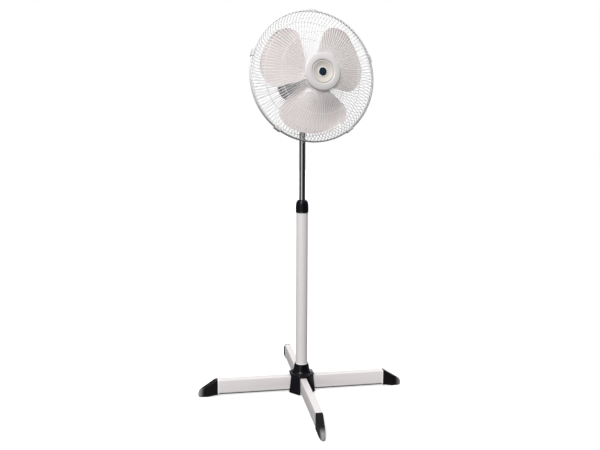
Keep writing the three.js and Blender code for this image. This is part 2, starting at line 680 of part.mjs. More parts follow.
// ---------------------------------------------------------------- rotor
const BLADE = {
  root: 20, // radius, inside the hub
  corner: 45, // radial length of the rounded corners
  cornerSpan: 26, // and the angle they take off each side at the tip, in degrees
  spanRoot: 52, // half angle at the hub, in degrees
  spanTip: 45,
  depthRoot: 34, // front to back
  depthTip: 50,
  middleRoot: -24, // middle line, in front of the rim plane
  middleTip: -4,
  camber: 7,
};

// One twisted blade as a closed thin body, about +Z, with +Z forwards and its middle at bearing 0.
function blade() {
  const rows = [BLADE.root, 55, 92, BLADE_R - BLADE.corner];
  for (const a of [30, 60, 90]) rows.push(BLADE_R - BLADE.corner * (1 - Math.sin(rad(a))));
  const columns = 6;
  const { lerp } = THREE.MathUtils;
  const surface = (r, v) => {
    const share = (r - BLADE.root) / (BLADE_R - BLADE.root);
    const into = Math.max(0, r - (BLADE_R - BLADE.corner)) / BLADE.corner;
    const corner = rad(BLADE.cornerSpan) * (1 - Math.sqrt(Math.max(0, 1 - into * into)));
    const half = rad(lerp(BLADE.spanRoot, BLADE.spanTip, share)) - corner;
    const depth = lerp(BLADE.depthRoot, BLADE.depthTip, share);
    const middle = lerp(BLADE.middleRoot, BLADE.middleTip, share);
    const forward = middle + depth * v * (half / rad(BLADE.spanTip)) - BLADE.camber * share * (1 - 4 * v * v);
    return [r * Math.cos(2 * half * v), r * Math.sin(2 * half * v), forward];
  };
  const points = [];
  for (const lift of [-BLADE_T / 2, BLADE_T / 2]) {
    for (const r of rows) {
      for (let c = 0; c <= columns; c++) {
        const [x, y, z] = surface(r, c / columns - 0.5);
        points.push(x, y, z + lift);
      }
    }
  }
  const index = [];
  const at = (level, row, column) => level * rows.length * (columns + 1) + row * (columns + 1) + column;
  const quad = (a, b, c, d) => index.push(a, b, c, a, c, d);
  const last = rows.length - 1;
  for (let r = 0; r < last; r++) {
    for (let c = 0; c < columns; c++) {
      quad(at(1, r, c), at(1, r + 1, c), at(1, r + 1, c + 1), at(1, r, c + 1));
      quad(at(0, r, c), at(0, r, c + 1), at(0, r + 1, c + 1), at(0, r + 1, c));
    }
    quad(at(0, r, 0), at(0, r + 1, 0), at(1, r + 1, 0), at(1, r, 0));
    quad(at(0, r, columns), at(1, r, columns), at(1, r + 1, columns), at(0, r + 1, columns));
  }
  for (let c = 0; c < columns; c++) {
    quad(at(0, 0, c), at(1, 0, c), at(1, 0, c + 1), at(0, 0, c + 1));
    quad(at(0, last, c), at(0, last, c + 1), at(1, last, c + 1), at(1, last, c));
  }
  const geometry = new THREE.BufferGeometry();
  geometry.setAttribute("position", new THREE.BufferAttribute(new Float32Array(points), 3));
  geometry.setIndex(index);
  return geometry.toNonIndexed();
}

function impeller() {
  const hub = turned([
    [0, -52], [BLADE_HUB_R, -52], [BLADE_HUB_R, -14], [BLADE_HUB_R - 3, -9], [0, -9],
  ], 28);
  const blades = Array.from({ length: BLADES }, (_, i) => blade().rotateZ(rad(-90 + (360 / BLADES) * i)));
  const inner = BLADE_HUB_R - 3;
  const hollow = turned([[0, -60], [inner, -60], [inner, -30], [12, -30], [12, -22], [0, -22]], 28);
  return forwards(combine(hub, { add: blades, cut: [hollow, rod(SHAFT_R + GAP, -60, 20, 16)] }));
}

const shaftFront = -(RIM_FORWARD - 8);
const WORM_Y = SPINDLE.y;
named(head, "motor_shaft", alongAxis(rod(SHAFT_R, shaftFront, WORM_Y - 10, 20)), STEEL());
named(head, "rotor_core", alongAxis(ring(SHAFT_R + GAP, 26.4, -4, 22, 24)), STEEL());
named(head, "impeller", impeller(), BLADE_PLASTIC());
const spinner = turned([[0, 4], [7, 3.4], [12, -0.6], [14, -8.6], [5, -8.6], [5, -3], [0, -3]].reverse(), 24);
named(head, "blade_nut", forwards(spinner), BLACK_PLASTIC());

// Worm: stacked discs stand for its thread.
function worm() {
  const outline = [[0, WORM_Y - 9.7]];
  for (let i = 0; i < 6; i++) {
    const y = WORM_Y - 9 + i * 3;
    outline.push([3.2, y], [4.5, y + 1], [4.5, y + 2]);
  }
  outline.push([0, WORM_Y + 9.7]);
  return alongAxis(turned(outline, 12));
}
named(head, "worm", worm(), BRASS());

// ---------------------------------------------------------------- swing drive
const wheelZ = AXIS_UP;
const gearZ = 66;
const spindle = new THREE.Group();
spindle.position.set(SPINDLE.x, SPINDLE.y, 0);
head.add(spindle);
named(spindle, "worm_wheel", gear(WORM_WHEEL_R, 16, wheelZ - 4, wheelZ + 4, 2.6), NYLON());
const pinion = combine(gear(PINION_R, 8, gearZ - 4, gearZ + 4, 0), { add: [rod(2.2, 60, wheelZ + 9, 12)] });
named(spindle, "spindle_pinion", pinion, STEEL());
named(spindle, "swing_rod", rod(2, wheelZ + 9.4, 147, 12), STEEL());
const swingKnob = combine(turned([
  [0, 144], [5.5, 144], [6, 146], [5.2, 151], [7.4, 156], [7, 160], [4, 161.5], [0, 161.8],
], 20), { cut: [rod(2.3, 140, 147.4, 12)] });
named(spindle, "swing_knob", swingKnob, BLACK_PLASTIC());

const crank = new THREE.Group();
crank.position.set(CRANK.x, CRANK.y, 0);
crank.rotation.z = rad(CRANK_TURN);
head.add(crank);
const crankGear = combine(gear(CRANK_GEAR_R, 24, gearZ - 3.6, gearZ + 3.6, 0), {
  add: [rod(4, 21.6, gearZ, 16)],
});
named(crank, "crank_gear", crankGear, NYLON());
const crankDisc = combine(rod(15.4, 17.9, 21.2, 28), {
  add: [rod(LINK_PIN_R, 13.2, 18, 12).translate(CRANK_R, 0, 0)],
});
named(crank, "crank_disc", crankDisc, STEEL());

// Link: round eye on the neck's anchor pin, slotted eye over the crank pin, which runs about in it as
// the swing's own arc and the crank's circle differ.
function linkArm() {
  const anchor = v2(ANCHOR.x, ANCHOR.y).rotateAround(v2(0, 0), -rad(REST_SWING));
  const slotted = v2(anchor.x, anchor.y + CRANK.y);
  const slotHalf = 3.8;
  const slotR = LINK_PIN_R + 2.4;
  const wall = 1.8;
  const stadium = (r) => [
    ...arcPoints(slotted.x + slotHalf, slotted.y, r, -90, 90, 6),
    ...arcPoints(slotted.x - slotHalf, slotted.y, r, 90, 270, 6),
  ];
  const [z0, z1] = [LINK_Z, LINK_Z + 2.7];
  return combine(plate(armOutline(anchor, slotted, 4.4, 3.4), z0, z1), {
    add: [plate(stadium(slotR + wall), z0, z1)],
    cut: [
      plate(stadium(slotR), z0 - 1, z1 + 1),
      rod(LINK_PIN_R + GAP, 0, 40, 12).translate(anchor.x, anchor.y, 0),
    ],
  });
}
named(head, "link_arm", linkArm(), STEEL());

// ---------------------------------------------------------------- speed knob, on the motor's rear face
const speedKnob = combine(turned([
  [0, HOUSING_REAR + 1.2], [17, HOUSING_REAR + 1.2], [16.4, HOUSING_REAR + 6], [14.6, HOUSING_REAR + 8],
  [0, HOUSING_REAR + 8],
], 32), {
  add: [block(-3.4, 3.4, -15.4, 15.4, HOUSING_REAR + 6, HOUSING_REAR + 16)],
  cut: [rod(SWITCH_STEM_R + GAP, 90, 114, 16)],
});
named(head, "speed_knob", alongAxis(speedKnob), BLACK_PLASTIC());

export default group;
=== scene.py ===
"""Looks of the pedestal fan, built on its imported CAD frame. Shapes are in mm, the scene is in metres."""
import math

import bmesh
import bpy
from mathutils import Matrix, Vector

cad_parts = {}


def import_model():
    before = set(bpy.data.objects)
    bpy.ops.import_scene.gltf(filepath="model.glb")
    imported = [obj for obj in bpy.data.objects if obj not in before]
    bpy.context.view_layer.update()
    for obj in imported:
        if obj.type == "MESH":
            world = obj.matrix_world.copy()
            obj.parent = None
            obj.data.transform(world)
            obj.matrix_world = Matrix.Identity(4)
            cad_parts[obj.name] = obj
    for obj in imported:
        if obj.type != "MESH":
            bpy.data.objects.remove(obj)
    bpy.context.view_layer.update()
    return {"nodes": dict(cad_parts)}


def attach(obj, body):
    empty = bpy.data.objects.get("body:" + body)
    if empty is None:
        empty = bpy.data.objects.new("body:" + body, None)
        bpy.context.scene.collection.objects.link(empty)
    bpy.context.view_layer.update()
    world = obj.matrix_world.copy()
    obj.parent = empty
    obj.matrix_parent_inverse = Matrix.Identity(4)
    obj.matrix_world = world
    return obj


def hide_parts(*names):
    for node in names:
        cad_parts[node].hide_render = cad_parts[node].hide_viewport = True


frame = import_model()

# ---------------- driving dimensions, as in the CAD
GAP = 0.3
REST_SWING, REST_TILT = 10.1, 6.5  # degrees, as the head stands at rest
BAR_HALF, BAR_W, BAR_H, BAR_Z, BAR_WALL = 277, 21, 50, 5, 1.5
BAR_TOP, BAR_MIDDLE = BAR_Z + BAR_H, BAR_Z + BAR_H / 2
CAP_TIP = 340
HUB_TOP, COVER_TOP = BAR_TOP + 4, 95
BOLT_R, BOLT_PITCH = 4, 1.25
POLE_R, POLE_WALL, POLE_TOP = 19, 1.5, 600
TUBE_R, TUBE_WALL, TUBE_BOTTOM = 10, 1.2, 430
COLLAR_R, COLLAR_BOTTOM, COLLAR_TOP = 21, 596.5, 637
PIVOT_Z, AXIS_UP, RIM_FORWARD = 930.3, 84, 94.9  # tilt axis, motor axis above it, rim plane before it
TUBE_TOP = PIVOT_Z - 22
EAR_R, TONGUE, EAR_T = 10, 10.7, 5
EAR_OUTER = TONGUE + GAP + EAR_T
TILT_HOLE_R, SWIVEL_HOLE_R = 3.3, 5.3
TAB_Z, LINK_Z, PLATFORM_Z, BOSS_Z = 10.6, 14.3, 17.5, 21.9
ANCHOR, CRANK, SPINDLE, GLAND = (-18, 0), (-10, 66), (15, 68), (10, 88)
CRANK_R, LINK_PIN_R = 11.6, 1.8
HOUSING_R, HOUSING_WALL, HOUSING_FRONT, HOUSING_SPLIT, HOUSING_REAR = 60, 2.2, -22, 30, 106
RIM_R, RIM_F, RIM_WIRE = 198.4, 2.9, 2.4
BLADES, BLADE_R, BLADE_HUB_R, BLADE_T = 3, 172, 27, 1.9
CLIPS, CLIP_W, CLIP_PIVOT_R = 5, 22, 197.8

# ---------------- dimensions finer than the CAD's
BAR_TOP_CORNER, BAR_LOW_CORNER = 3.5, 9.5
CAP_NOSE = 18
WIRES, WIRE_R, RING_WIRE_R = 110, 0.8, 0.7
FRONT_VENTS, SIDE_VENTS = 30, 40
DISH_R, DISH_RIM, DISH_DEPTH, DISH_RIDGE = 31, 79.6, 4.4, 0.22
CLOUD_LOW, CLOUD_HIGH = 0.3, 0.7  # noise values where a colour's drift starts and ends
EDGE_FLAT, EDGE_SHARP = 0.5, 0.62  # pointiness of a flat surface and of a sharp edge; edges lighten between them, partly as wear and partly as a painted highlight
GRAIN_DEPTH = 0.0004
PAINTED_SHADE_FROM, PAINTED_SHADE_FULL = -0.05, -0.4  # upward part of the normal where the painted shade on faces turned down starts and where it is full


# ---------------- places
def rotation(degrees, axis="Z"):
    return Matrix.Rotation(math.radians(degrees), 4, axis)


MM = Matrix.Scale(0.001, 4)
NECK = Matrix.Translation((0, 0, PIVOT_Z / 1000)) @ rotation(-REST_TILT, "X") @ MM
HEAD = NECK @ rotation(REST_SWING)
# +Z to the rear from the motor's axis over the mast, and +Z forwards from the middle of the guard's rim
AXIS = HEAD @ Matrix.Translation((0, 0, AXIS_UP)) @ rotation(-90, "X")
RIM = HEAD @ Matrix.Translation((0, -RIM_FORWARD, AXIS_UP)) @ rotation(90, "X")
# a plan (x, y) stands up as (y, z), and its thickness lies along X
TO_X = Matrix(((0, 0, 1, 0), (1, 0, 0, 0), (0, 1, 0, 0), (0, 0, 0, 1)))
AXIS_TO_HEAD = rotation(90, "X") @ Matrix.Translation((0, 0, -AXIS_UP))


# ---------------- camera
def link_object(obj):
    bpy.context.scene.collection.objects.link(obj)


def make_camera():
    azimuth, distance, height = math.radians(-10.6), 2.0, 0.893
    turn, pitch = math.radians(-2.3), math.radians(-5.9)
    data = bpy.data.cameras.new("camera")
    data.lens, data.sensor_width = 37.57, 36
    data.shift_x, data.shift_y = 0.0379, -0.0675
    camera = bpy.data.objects.new("camera", data)
    camera.location = (math.sin(azimuth) * distance, -math.cos(azimuth) * distance, height)
    camera.rotation_euler = (math.pi / 2 + pitch, 0, azimuth - turn)
    link_object(camera)
    bpy.context.scene.camera = camera


make_camera()


# ---------------- materials
def ramp(nodes, stops):
    """Colour ramp node through (position, colour) stops."""
    node = nodes.new("ShaderNodeValToRGB")
    first, last = node.color_ramp.elements
    first.position, first.color = stops[0][0], (*stops[0][1], 1)
    last.position, last.color = stops[-1][0], (*stops[-1][1], 1)
    for position, color in stops[1:-1]:
        node.color_ramp.elements.new(position).color = (*color, 1)
    return node


def finish_material(name, color, rough, metallic=0.0, tint=0.06, spread=0.06, grain=900, bump=0.04,
                    stretch=(1, 1, 1), cloud=14, edge=0.0, painted_light_by_reach=None, under=None, **sockets):
    """Colour drifting by `tint` in clouds, fine grain in bump and roughness, edges lightened by `edge`,
    partly as wear and partly as a painted highlight.

    `painted_light_by_reach` = (from, to, grey) takes the colour to a grey between two distances from the
    origin, in metres.
    `under` is the grey of surfaces that face down, a painted shade. The grey by distance above paints shade
    low on the rim, light high on it and a highlight at the cap tips.
    """
    material = bpy.data.materials.new(name)
    material.use_nodes = True
    nodes, links = material.node_tree.nodes, material.node_tree.links
    shader = nodes["Principled BSDF"]
    shader.inputs["Metallic"].default_value = metallic
    for socket, value in sockets.items():
        shader.inputs[socket.replace("_", " ")].default_value = value
    place = nodes.new("ShaderNodeTexCoord")
    mapping = nodes.new("ShaderNodeMapping")
    mapping.inputs["Scale"].default_value = stretch
    links.new(place.outputs["Object"], mapping.inputs["Vector"])

    def noise(scale, detail, vector):
        node = nodes.new("ShaderNodeTexNoise")
        node.inputs["Scale"].default_value, node.inputs["Detail"].default_value = scale, detail
        links.new(vector, node.inputs["Vector"])
        return node.outputs["Fac"]

    def covered(surface, share, tone):
        """The surface colour going over to a tone by a share."""
        mix = nodes.new("ShaderNodeMixRGB")
        mix.inputs["Color2"].default_value = (*tone, 1)
        links.new(share, mix.inputs["Fac"])
        links.new(surface, mix.inputs["Color1"])
        return mix.outputs["Color"]

    def share_between(value, start, end):
        """0 to 1 as a value goes from start to end."""
        share = nodes.new("ShaderNodeMapRange")
        share.interpolation_type = "SMOOTHSTEP"
        share.inputs["From Min"].default_value, share.inputs["From Max"].default_value = start, end
        links.new(value, share.inputs["Value"])
        return share.outputs["Result"]

    clouds = noise(cloud, 4, place.outputs["Object"])
    fine = noise(grain, 3, mapping.outputs["Vector"])
    low = tuple(c * (1 - tint) for c in color)
    high = tuple(min(1, c * (1 + tint)) for c in color)
    drift = ramp(nodes, [(CLOUD_LOW, low), (CLOUD_HIGH, high)])
    links.new(clouds, drift.inputs["Fac"])
    surface = drift.outputs["Color"]
    # lightened edges: partly wear, partly a painted highlight
    if edge:
        geometry = nodes.new("ShaderNodeNewGeometry")
        edge_wear_and_sheen = ramp(nodes, [(EDGE_FLAT, (0, 0, 0)), (EDGE_SHARP, (1, 1, 1))])
        links.new(geometry.outputs["Pointiness"], edge_wear_and_sheen.inputs["Fac"])
        surface = covered(surface, edge_wear_and_sheen.outputs["Color"], [min(1, c + edge) for c in color])
    # painted light and shade: the colour goes over to a grey with the distance from the origin
    if painted_light_by_reach:
        reach = nodes.new("ShaderNodeVectorMath")
        reach.operation = "LENGTH"
        links.new(place.outputs["Object"], reach.inputs[0])
        surface = covered(surface, share_between(reach.outputs["Value"], *painted_light_by_reach[:2]), [painted_light_by_reach[2]] * 3)
    # painted shade: faces that turn down go over to a dark grey
    if under:
        facing = nodes.new("ShaderNodeSeparateXYZ")
        links.new(place.outputs["Normal"], facing.inputs["Vector"])
        surface = covered(surface, share_between(facing.outputs["Z"], PAINTED_SHADE_FROM, PAINTED_SHADE_FULL), [under] * 3)
    links.new(surface, shader.inputs["Base Color"])
    span = nodes.new("ShaderNodeMapRange")
    span.inputs["To Min"].default_value, span.inputs["To Max"].default_value = rough - spread, rough + spread
    links.new(fine, span.inputs["Value"])
    links.new(span.outputs["Result"], shader.inputs["Roughness"])
    relief = nodes.new("ShaderNodeBump")
    relief.inputs["Strength"].default_value, relief.inputs["Distance"].default_value = bump, GRAIN_DEPTH
    links.new(fine, relief.inputs["Height"])
    links.new(relief.outputs["Normal"], shader.inputs["Normal"])
    return material


PAINT = finish_material("white_enamel", (0.66, 0.63, 0.62), 0.36, tint=0.03, grain=700, bump=0.10, cloud=9,
                        edge=0.10, Coat_Weight=0.2, Coat_Roughness=0.2)
# the bars' faces that turn down go near black, a painted shade along their lower edges
BAR_X, BAR_Y = [
    finish_material("bar_enamel_" + along, (0.66, 0.62, 0.615), 0.36, tint=0.025, grain=500, bump=0.12,
                    stretch=brushed, edge=0.10, under=0.06, Coat_Weight=0.15, Coat_Roughness=0.2)
    for along, brushed in (("x", (0.02, 1, 1)), ("y", (1, 0.02, 1)))]
WIRE = finish_material("wire_enamel", (0.93, 0.92, 0.92), 0.40, tint=0.02, grain=1200, bump=0.08,
                       Coat_Weight=0.1)
# the rim is dark grey low down as painted shade and pales to near white higher up as painted light
RIM_PAINT = finish_material("rim_enamel", (0.38, 0.38, 0.37), 0.34, tint=0.04, grain=1200, bump=0.08,
                            painted_light_by_reach=(0.86, 1.10, 0.84), Coat_Weight=0.2)
WHITE = finish_material("white_plastic", (0.71, 0.68, 0.675), 0.42, tint=0.02, grain=1600, bump=0.10,
                        edge=0.06)
DISH = finish_material("warm_plastic", (0.66, 0.62, 0.56), 0.45, tint=0.03, grain=1600, bump=0.12, edge=0.08)
BLADE = finish_material("milky_blade", (0.80, 0.73, 0.712), 0.30, tint=0.03, spread=0.04, grain=420,
                        bump=0.05, cloud=20, edge=0.08, Subsurface_Weight=0.15, Subsurface_Scale=0.004,
                        Subsurface_Radius=(1.0, 0.85, 0.8), Coat_Weight=0.15)
BLACK = finish_material("black_plastic", (0.005, 0.0045, 0.007), 0.19, tint=0.3, spread=0.05, grain=1500,
                        bump=0.05, edge=0.004, Specular_IOR_Level=0.2, Coat_Weight=0.10, Coat_Roughness=0.06)
# the caps pale to grey towards their tips, a painted highlight
CAP = finish_material("cap_plastic", (0.007, 0.006, 0.006), 0.22, tint=0.3, spread=0.06, grain=1500,
                      bump=0.06, edge=0.006, painted_light_by_reach=(0.320, 0.345, 0.34), Specular_IOR_Level=0.28,
                      Coat_Weight=0.10, Coat_Roughness=0.1)
CHROME = finish_material("chrome", (0.68, 0.66, 0.65), 0.08, metallic=1, tint=0.03, spread=0.03, grain=300,
                         bump=0.004, stretch=(1, 1, 0.03))
STEEL = finish_material("zinc_steel", (0.42, 0.42, 0.43), 0.36, metallic=1, tint=0.08, grain=900, bump=0.06,
                        stretch=(1, 0.15, 1), edge=0.12)
CAST = finish_material("cast_metal", (0.40, 0.40, 0.41), 0.5, metallic=1, tint=0.08, grain=600, bump=0.35,
                       edge=0.1)
BRASS = finish_material("bronze", (0.50, 0.33, 0.13), 0.3, metallic=1, tint=0.1, grain=700, bump=0.06,
                        edge=0.15)
COPPER = finish_material("copper_wire", (0.45, 0.16, 0.06), 0.32, metallic=0.7, tint=0.15, grain=500,
                         bump=0.5, stretch=(1, 6, 1))
NYLON = finish_material("natural_nylon", (0.74, 0.70, 0.60), 0.48, tint=0.04, grain=1100, bump=0.08,
                        Subsurface_Weight=0.15, Subsurface_Scale=0.002)
NAVY = finish_material("navy_disc", (0.014, 0.026, 0.040), 0.22, tint=0.35, grain=1500, bump=0.05, cloud=90,
                       Coat_Weight=0.5, Coat_Roughness=0.08)
# bright white: the ring round the badge's disc, and bands standing in for highlights at the bar ends and at
# the pole's foot
TRIM_AND_HIGHLIGHT = finish_material("bright_band", (0.88, 0.87, 0.86), 0.3, tint=0.02, grain=900, bump=0.05)


# ---------------- shapes: each is (vertices, faces), in millimetres
def filleted(points, steps=5, closed=False):
    """Outline through [x, y, fillet radius] points, each corner rounded by an arc-like curve."""
    out, n = [], len(points)
    for i, (x, y, *radius) in enumerate(points):
        here = Vector((x, y))
        if not radius or not radius[0] or (not closed and i in (0, n - 1)):
            out.append((x, y))
            continue
        before = Vector(points[i - 1][:2]) - here
        after = Vector(points[(i + 1) % n][:2]) - here
        angle = before.angle(after)
        reach = min(radius[0] / math.tan(angle / 2), before.length * 0.48, after.length * 0.48)
        a, b = here + before.normalized() * reach, here + after.normalized() * reach
        for s in range(steps + 1):
            t = s / steps
            out.append(tuple(a * (1 - t) ** 2 + here * 2 * t * (1 - t) + b * t * t))
    return out


def value_at(points, x):
    """Height at x of a line through (x, height) points, the last height beyond them."""
    for (xa, a), (xb, b) in zip(points, points[1:]):
        if x <= xb:
            t = (x - xa) / (xb - xa)
            return a + (b - a) * t
    return points[-1][1]


def waves(angle, count):
    """0 to 1, in a number of waves around a turned piece."""
    return 0.5 + 0.5 * math.cos(count * angle)


def lathe(profile, n=96, wobble=None):
    """Body of revolution about Z. Profile ends lie on the axis, or the profile closes on itself."""
    on_axis = 1e-6
    closed = profile[0][0] > on_axis
    verts, rings = [], []
    for r, z in profile:
        if r < on_axis:
            rings.append([len(verts)])
            verts.append((0, 0, z))
            continue
        rings.append(list(range(len(verts), len(verts) + n)))
        for i in range(n):
            a = 2 * math.pi * i / n
            rr = r + (wobble(a, r, z) if wobble else 0)
            verts.append((rr * math.cos(a), rr * math.sin(a), z))
    pairs = list(zip(rings, rings[1:] + rings[:1] if closed else rings[1:]))
    faces = []
    for low, high in pairs:
        for i in range(n):
            j = (i + 1) % n
            if len(low) == 1 and len(high) == 1:
                break
            if len(low) == 1:
                faces.append((low[0], high[j], high[i]))
            elif len(high) == 1:
                faces.append((low[i], low[j], high[0]))
            else:
                faces.append((low[i], low[j], high[j], high[i]))
    return verts, faces


def rod(r, z0, z1, fillet=0.4, n=48):
    return lathe(filleted([(0, z0), (r, z0, fillet), (r, z1, fillet), (0, z1)], 3), n)


def prism(outline, z0, z1):
    n = len(outline)
    verts = [(x, y, z) for z in (z0, z1) for x, y in outline]
    faces = [tuple(range(n))[::-1], tuple(range(n, 2 * n))]
    return verts, faces + [(i, (i + 1) % n, n + (i + 1) % n, n + i) for i in range(n)]


def box(x0, x1, y0, y1, z0, z1):
    return prism([(x0, y0), (x1, y0), (x1, y1), (x0, y1)], z0, z1)


def band(a, b, n):
    """Faces between two loops of n vertices, numbered from a and from b."""
    return [(a + i, a + (i + 1) % n, b + (i + 1) % n, b + i) for i in range(n)]


def loft(sections):
    """Closed body through equal loops of 3-D points, first and last capped."""
    n = len(sections[0])
    verts = [p for loop in sections for p in loop]
    faces = [tuple(range(n))[::-1], tuple(range(len(verts) - n, len(verts)))]
    for s in range(len(sections) - 1):
        faces += band(s * n, (s + 1) * n, n)
    return verts, faces


def sleeve(sections):
    """Closed body through equal loops of 3-D points, the last joined to the first."""
    n = len(sections[0])
    verts = [p for loop in sections for p in loop]
    faces = []
    for s in range(len(sections)):
        faces += band(s * n, (s + 1) % len(sections) * n, n)
    return verts, faces


def sweep(path, radius, sides=8, closed=False):
    """Round wire along a list of 3-D points, its ends closed."""
    points = [Vector(p) for p in path]
    n = len(points)
    loops, side = [], None
    for i, p in enumerate(points):
        before = points[i - 1] if closed or i else points[i]
        after = points[(i + 1) % n] if closed or i < n - 1 else points[i]
        along = (after - before).normalized()
        if side is None:
            side = along.orthogonal().normalized()
        side = (side - along * side.dot(along)).normalized()
        other = along.cross(side)
        loops.append([tuple(p + radius * (side * math.cos(a) + other * math.sin(a)))
                      for a in (2 * math.pi * k / sides for k in range(sides))])
    return sleeve(loops) if closed else loft(loops)


def moved(shape, matrix):
    return [tuple(matrix @ Vector(v)) for v in shape[0]], shape[1]


def turn(shape, degrees, axis="Z"):
    return moved(shape, rotation(degrees, axis))


def shift(shape, x=0, y=0, z=0):
    return moved(shape, Matrix.Translation((x, y, z)))


def around(shape, count):
    """Copies of a shape at equal angles about Z, the first half a step round."""
    return [turn(shape, 360 * (i + 0.5) / count) for i in range(count)]


def merged(shapes):
    """Separate shapes as one, for one pass of a boolean."""
    verts, faces = [], []
    for shape_verts, shape_faces in shapes:
        base = len(verts)
        verts += shape_verts
        faces += [tuple(base + i for i in face) for face in shape_faces]
    return verts, faces


def rounded_rectangle(w, h, r):
    w, h = w / 2, h / 2
    return filleted([(w, h, r), (-w, h, r), (-w, -h, r), (w, -h, r)], 6, True)


def bolt_head(across_flats, sections):
    """Hexagonal head through (scale, height) sections."""
    r = across_flats / math.sqrt(3)
    corners = [(r * math.cos(math.pi * i / 3), r * math.sin(math.pi * i / 3)) for i in range(6)]
    return loft([[(x * scale, y * scale, z) for x, y in corners] for scale, z in sections])


def arm(a, b, ra, rb, z0, z1, n=20):
    """Flat bar with round ends of radius ra and rb."""
    bearing = math.atan2(b[1] - a[1], b[0] - a[0])
    ends = [(a, ra, bearing + math.pi / 2), (b, rb, bearing - math.pi / 2)]
    return prism([(c[0] + r * math.cos(s + math.pi * i / n), c[1] + r * math.sin(s + math.pi * i / n))
                  for c, r, s in ends for i in range(n + 1)], z0, z1)


# ---------------- pieces
def to_mesh(name, shapes, place):
    mesh = bpy.data.meshes.new(name)
    verts, faces = merged(shapes)
    mesh.from_pydata([place @ Vector(v) for v in verts], [], faces)
    edit = bmesh.new()
    edit.from_mesh(mesh)
    bmesh.ops.remove_doubles(edit, verts=edit.verts, dist=1e-6)
    bmesh.ops.recalc_face_normals(edit, faces=edit.faces)
    edit.to_mesh(mesh)
    edit.free()
    return mesh


def baked(obj):
    """Replaces obj's mesh by the result of its modifiers."""
    mesh = bpy.data.meshes.new_from_object(obj.evaluated_get(bpy.context.evaluated_depsgraph_get()))
    obj.modifiers.clear()
    obj.data = mesh


def boolean(obj, shapes, place, operation="DIFFERENCE"):
    for shape in shapes:
        other = bpy.data.objects.new("cutter", to_mesh("cutter", [shape], place))
        link_object(other)
        modifier = obj.modifiers.new("boolean", "BOOLEAN")
        modifier.operation, modifier.solver, modifier.object = operation, "EXACT", other
        baked(obj)
        bpy.data.objects.remove(other)


def piece(name, shapes, place, body, nodes, material, add=(), cut=(), bevel=0.0, sharp=35):
    """Makes a piece of shapes, joined with `add`, cut by `cut`, that rides on a body and replaces nodes."""
    obj = bpy.data.objects.new(name, to_mesh(name, shapes, place))
    link_object(obj)
    boolean(obj, add, place, "UNION")
    boolean(obj, cut, place)
    if bevel:
        modifier = obj.modifiers.new("bevel", "BEVEL")
        modifier.width, modifier.segments = bevel / 1000, 3
        modifier.limit_method, modifier.angle_limit = "ANGLE", math.radians(38)
        baked(obj)
    obj.data.name = name
    obj.data.materials.clear()
    obj.data.materials.append(material)
    for polygon in obj.data.polygons:
        polygon.use_smooth = True
        polygon.material_index = 0
    edit = bmesh.new()
    edit.from_mesh(obj.data)
    for edge in edit.edges:
        edge.smooth = len(edge.link_faces) != 2 or edge.calc_face_angle(0) < math.radians(sharp)
    edit.to_mesh(obj.data)
    edit.free()
    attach(obj, body)
    if nodes:
        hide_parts(*nodes)
    return obj


# ---------------- foot
def bar_loop(x, grow=0.0):
    """Loop across a foot bar at x, its lower corners rounder than its upper ones."""
    h, w = BAR_H / 2 + grow, BAR_W / 2 + grow
    low, top = BAR_LOW_CORNER + grow, BAR_TOP_CORNER + grow
    outline = filleted([(h, w, top), (-h, w, low), (-h, -w, low), (h, -w, top)], 6, True)
    return [(x, v, BAR_MIDDLE + u) for u, v in outline]


def foot_bar(name, node, material, quarter, keeps_top):
    """One bar of the foot, a tube that loses its lower or its upper half where it crosses the other."""
    chamfer, notch_reach = 0.5, 30
    tube = sleeve([bar_loop(-BAR_HALF + chamfer), bar_loop(BAR_HALF - chamfer),
                   bar_loop(BAR_HALF, -BAR_WALL), bar_loop(-BAR_HALF, -BAR_WALL)])
    half = BAR_W / 2 + GAP
    low, high = (BAR_Z - 1, BAR_MIDDLE + GAP / 2) if keeps_top else (BAR_MIDDLE - GAP / 2, BAR_TOP + 1)
    place = MM @ rotation(quarter)
    piece(name, [tube], place, "stand", [node], material,
          cut=[box(-half, half, -notch_reach, notch_reach, low, high), rod(BOLT_R + 0.4, -5, 100)])


def cap_section(x):
    """Loop across an end cap at x: half width, top and bottom run down to a low round nose."""
    nose_from, slope_from = CAP_TIP - CAP_NOSE, BAR_HALF + 8
    nose = max(0.0, (x - nose_from) / CAP_NOSE)
    shrink = math.sqrt(max(0.0, 1 - nose * nose))
    half = value_at([(BAR_HALF, 10.9), (slope_from, 10.9), (nose_from, 8.6), (CAP_TIP, 8)], x)
    top = value_at([(BAR_HALF, BAR_TOP + 0.6), (BAR_HALF + 5, BAR_TOP + 0.5), (BAR_HALF + 9, BAR_TOP - 1.2),
                    (CAP_TIP - 12, 27.5), (CAP_TIP - 7, 24.5), (CAP_TIP - 3, 20.5), (CAP_TIP - 1, 16),
                    (CAP_TIP, 12)], x)
    bottom = value_at([(BAR_HALF, BAR_Z), (slope_from, BAR_Z), (BAR_HALF + 32, 0), (CAP_TIP - 3.5, 0),
                       (CAP_TIP - 1.2, 1.2), (CAP_TIP, 4)], x)
    half *= 0.22 + 0.78 * shrink
    side = [(half, bottom, 3), (half, top, 3.2), (-half, top, 3.2), (-half, bottom, 3)]
    return [(x, u, v) for u, v in filleted(side, 6, True)]


def bright_band():
    """Thin bright band around the end of a bar, a painted highlight along the end's edge."""
    outside = ((BAR_HALF - 4, 0.05), (BAR_HALF - 3.7, 0.35), (BAR_HALF - 0.3, 0.35), (BAR_HALF, 0.05))
    inside = ((BAR_HALF, 0.01), (BAR_HALF - 4, 0.01))
    return sleeve([bar_loop(x, grow) for x, grow in outside + inside])


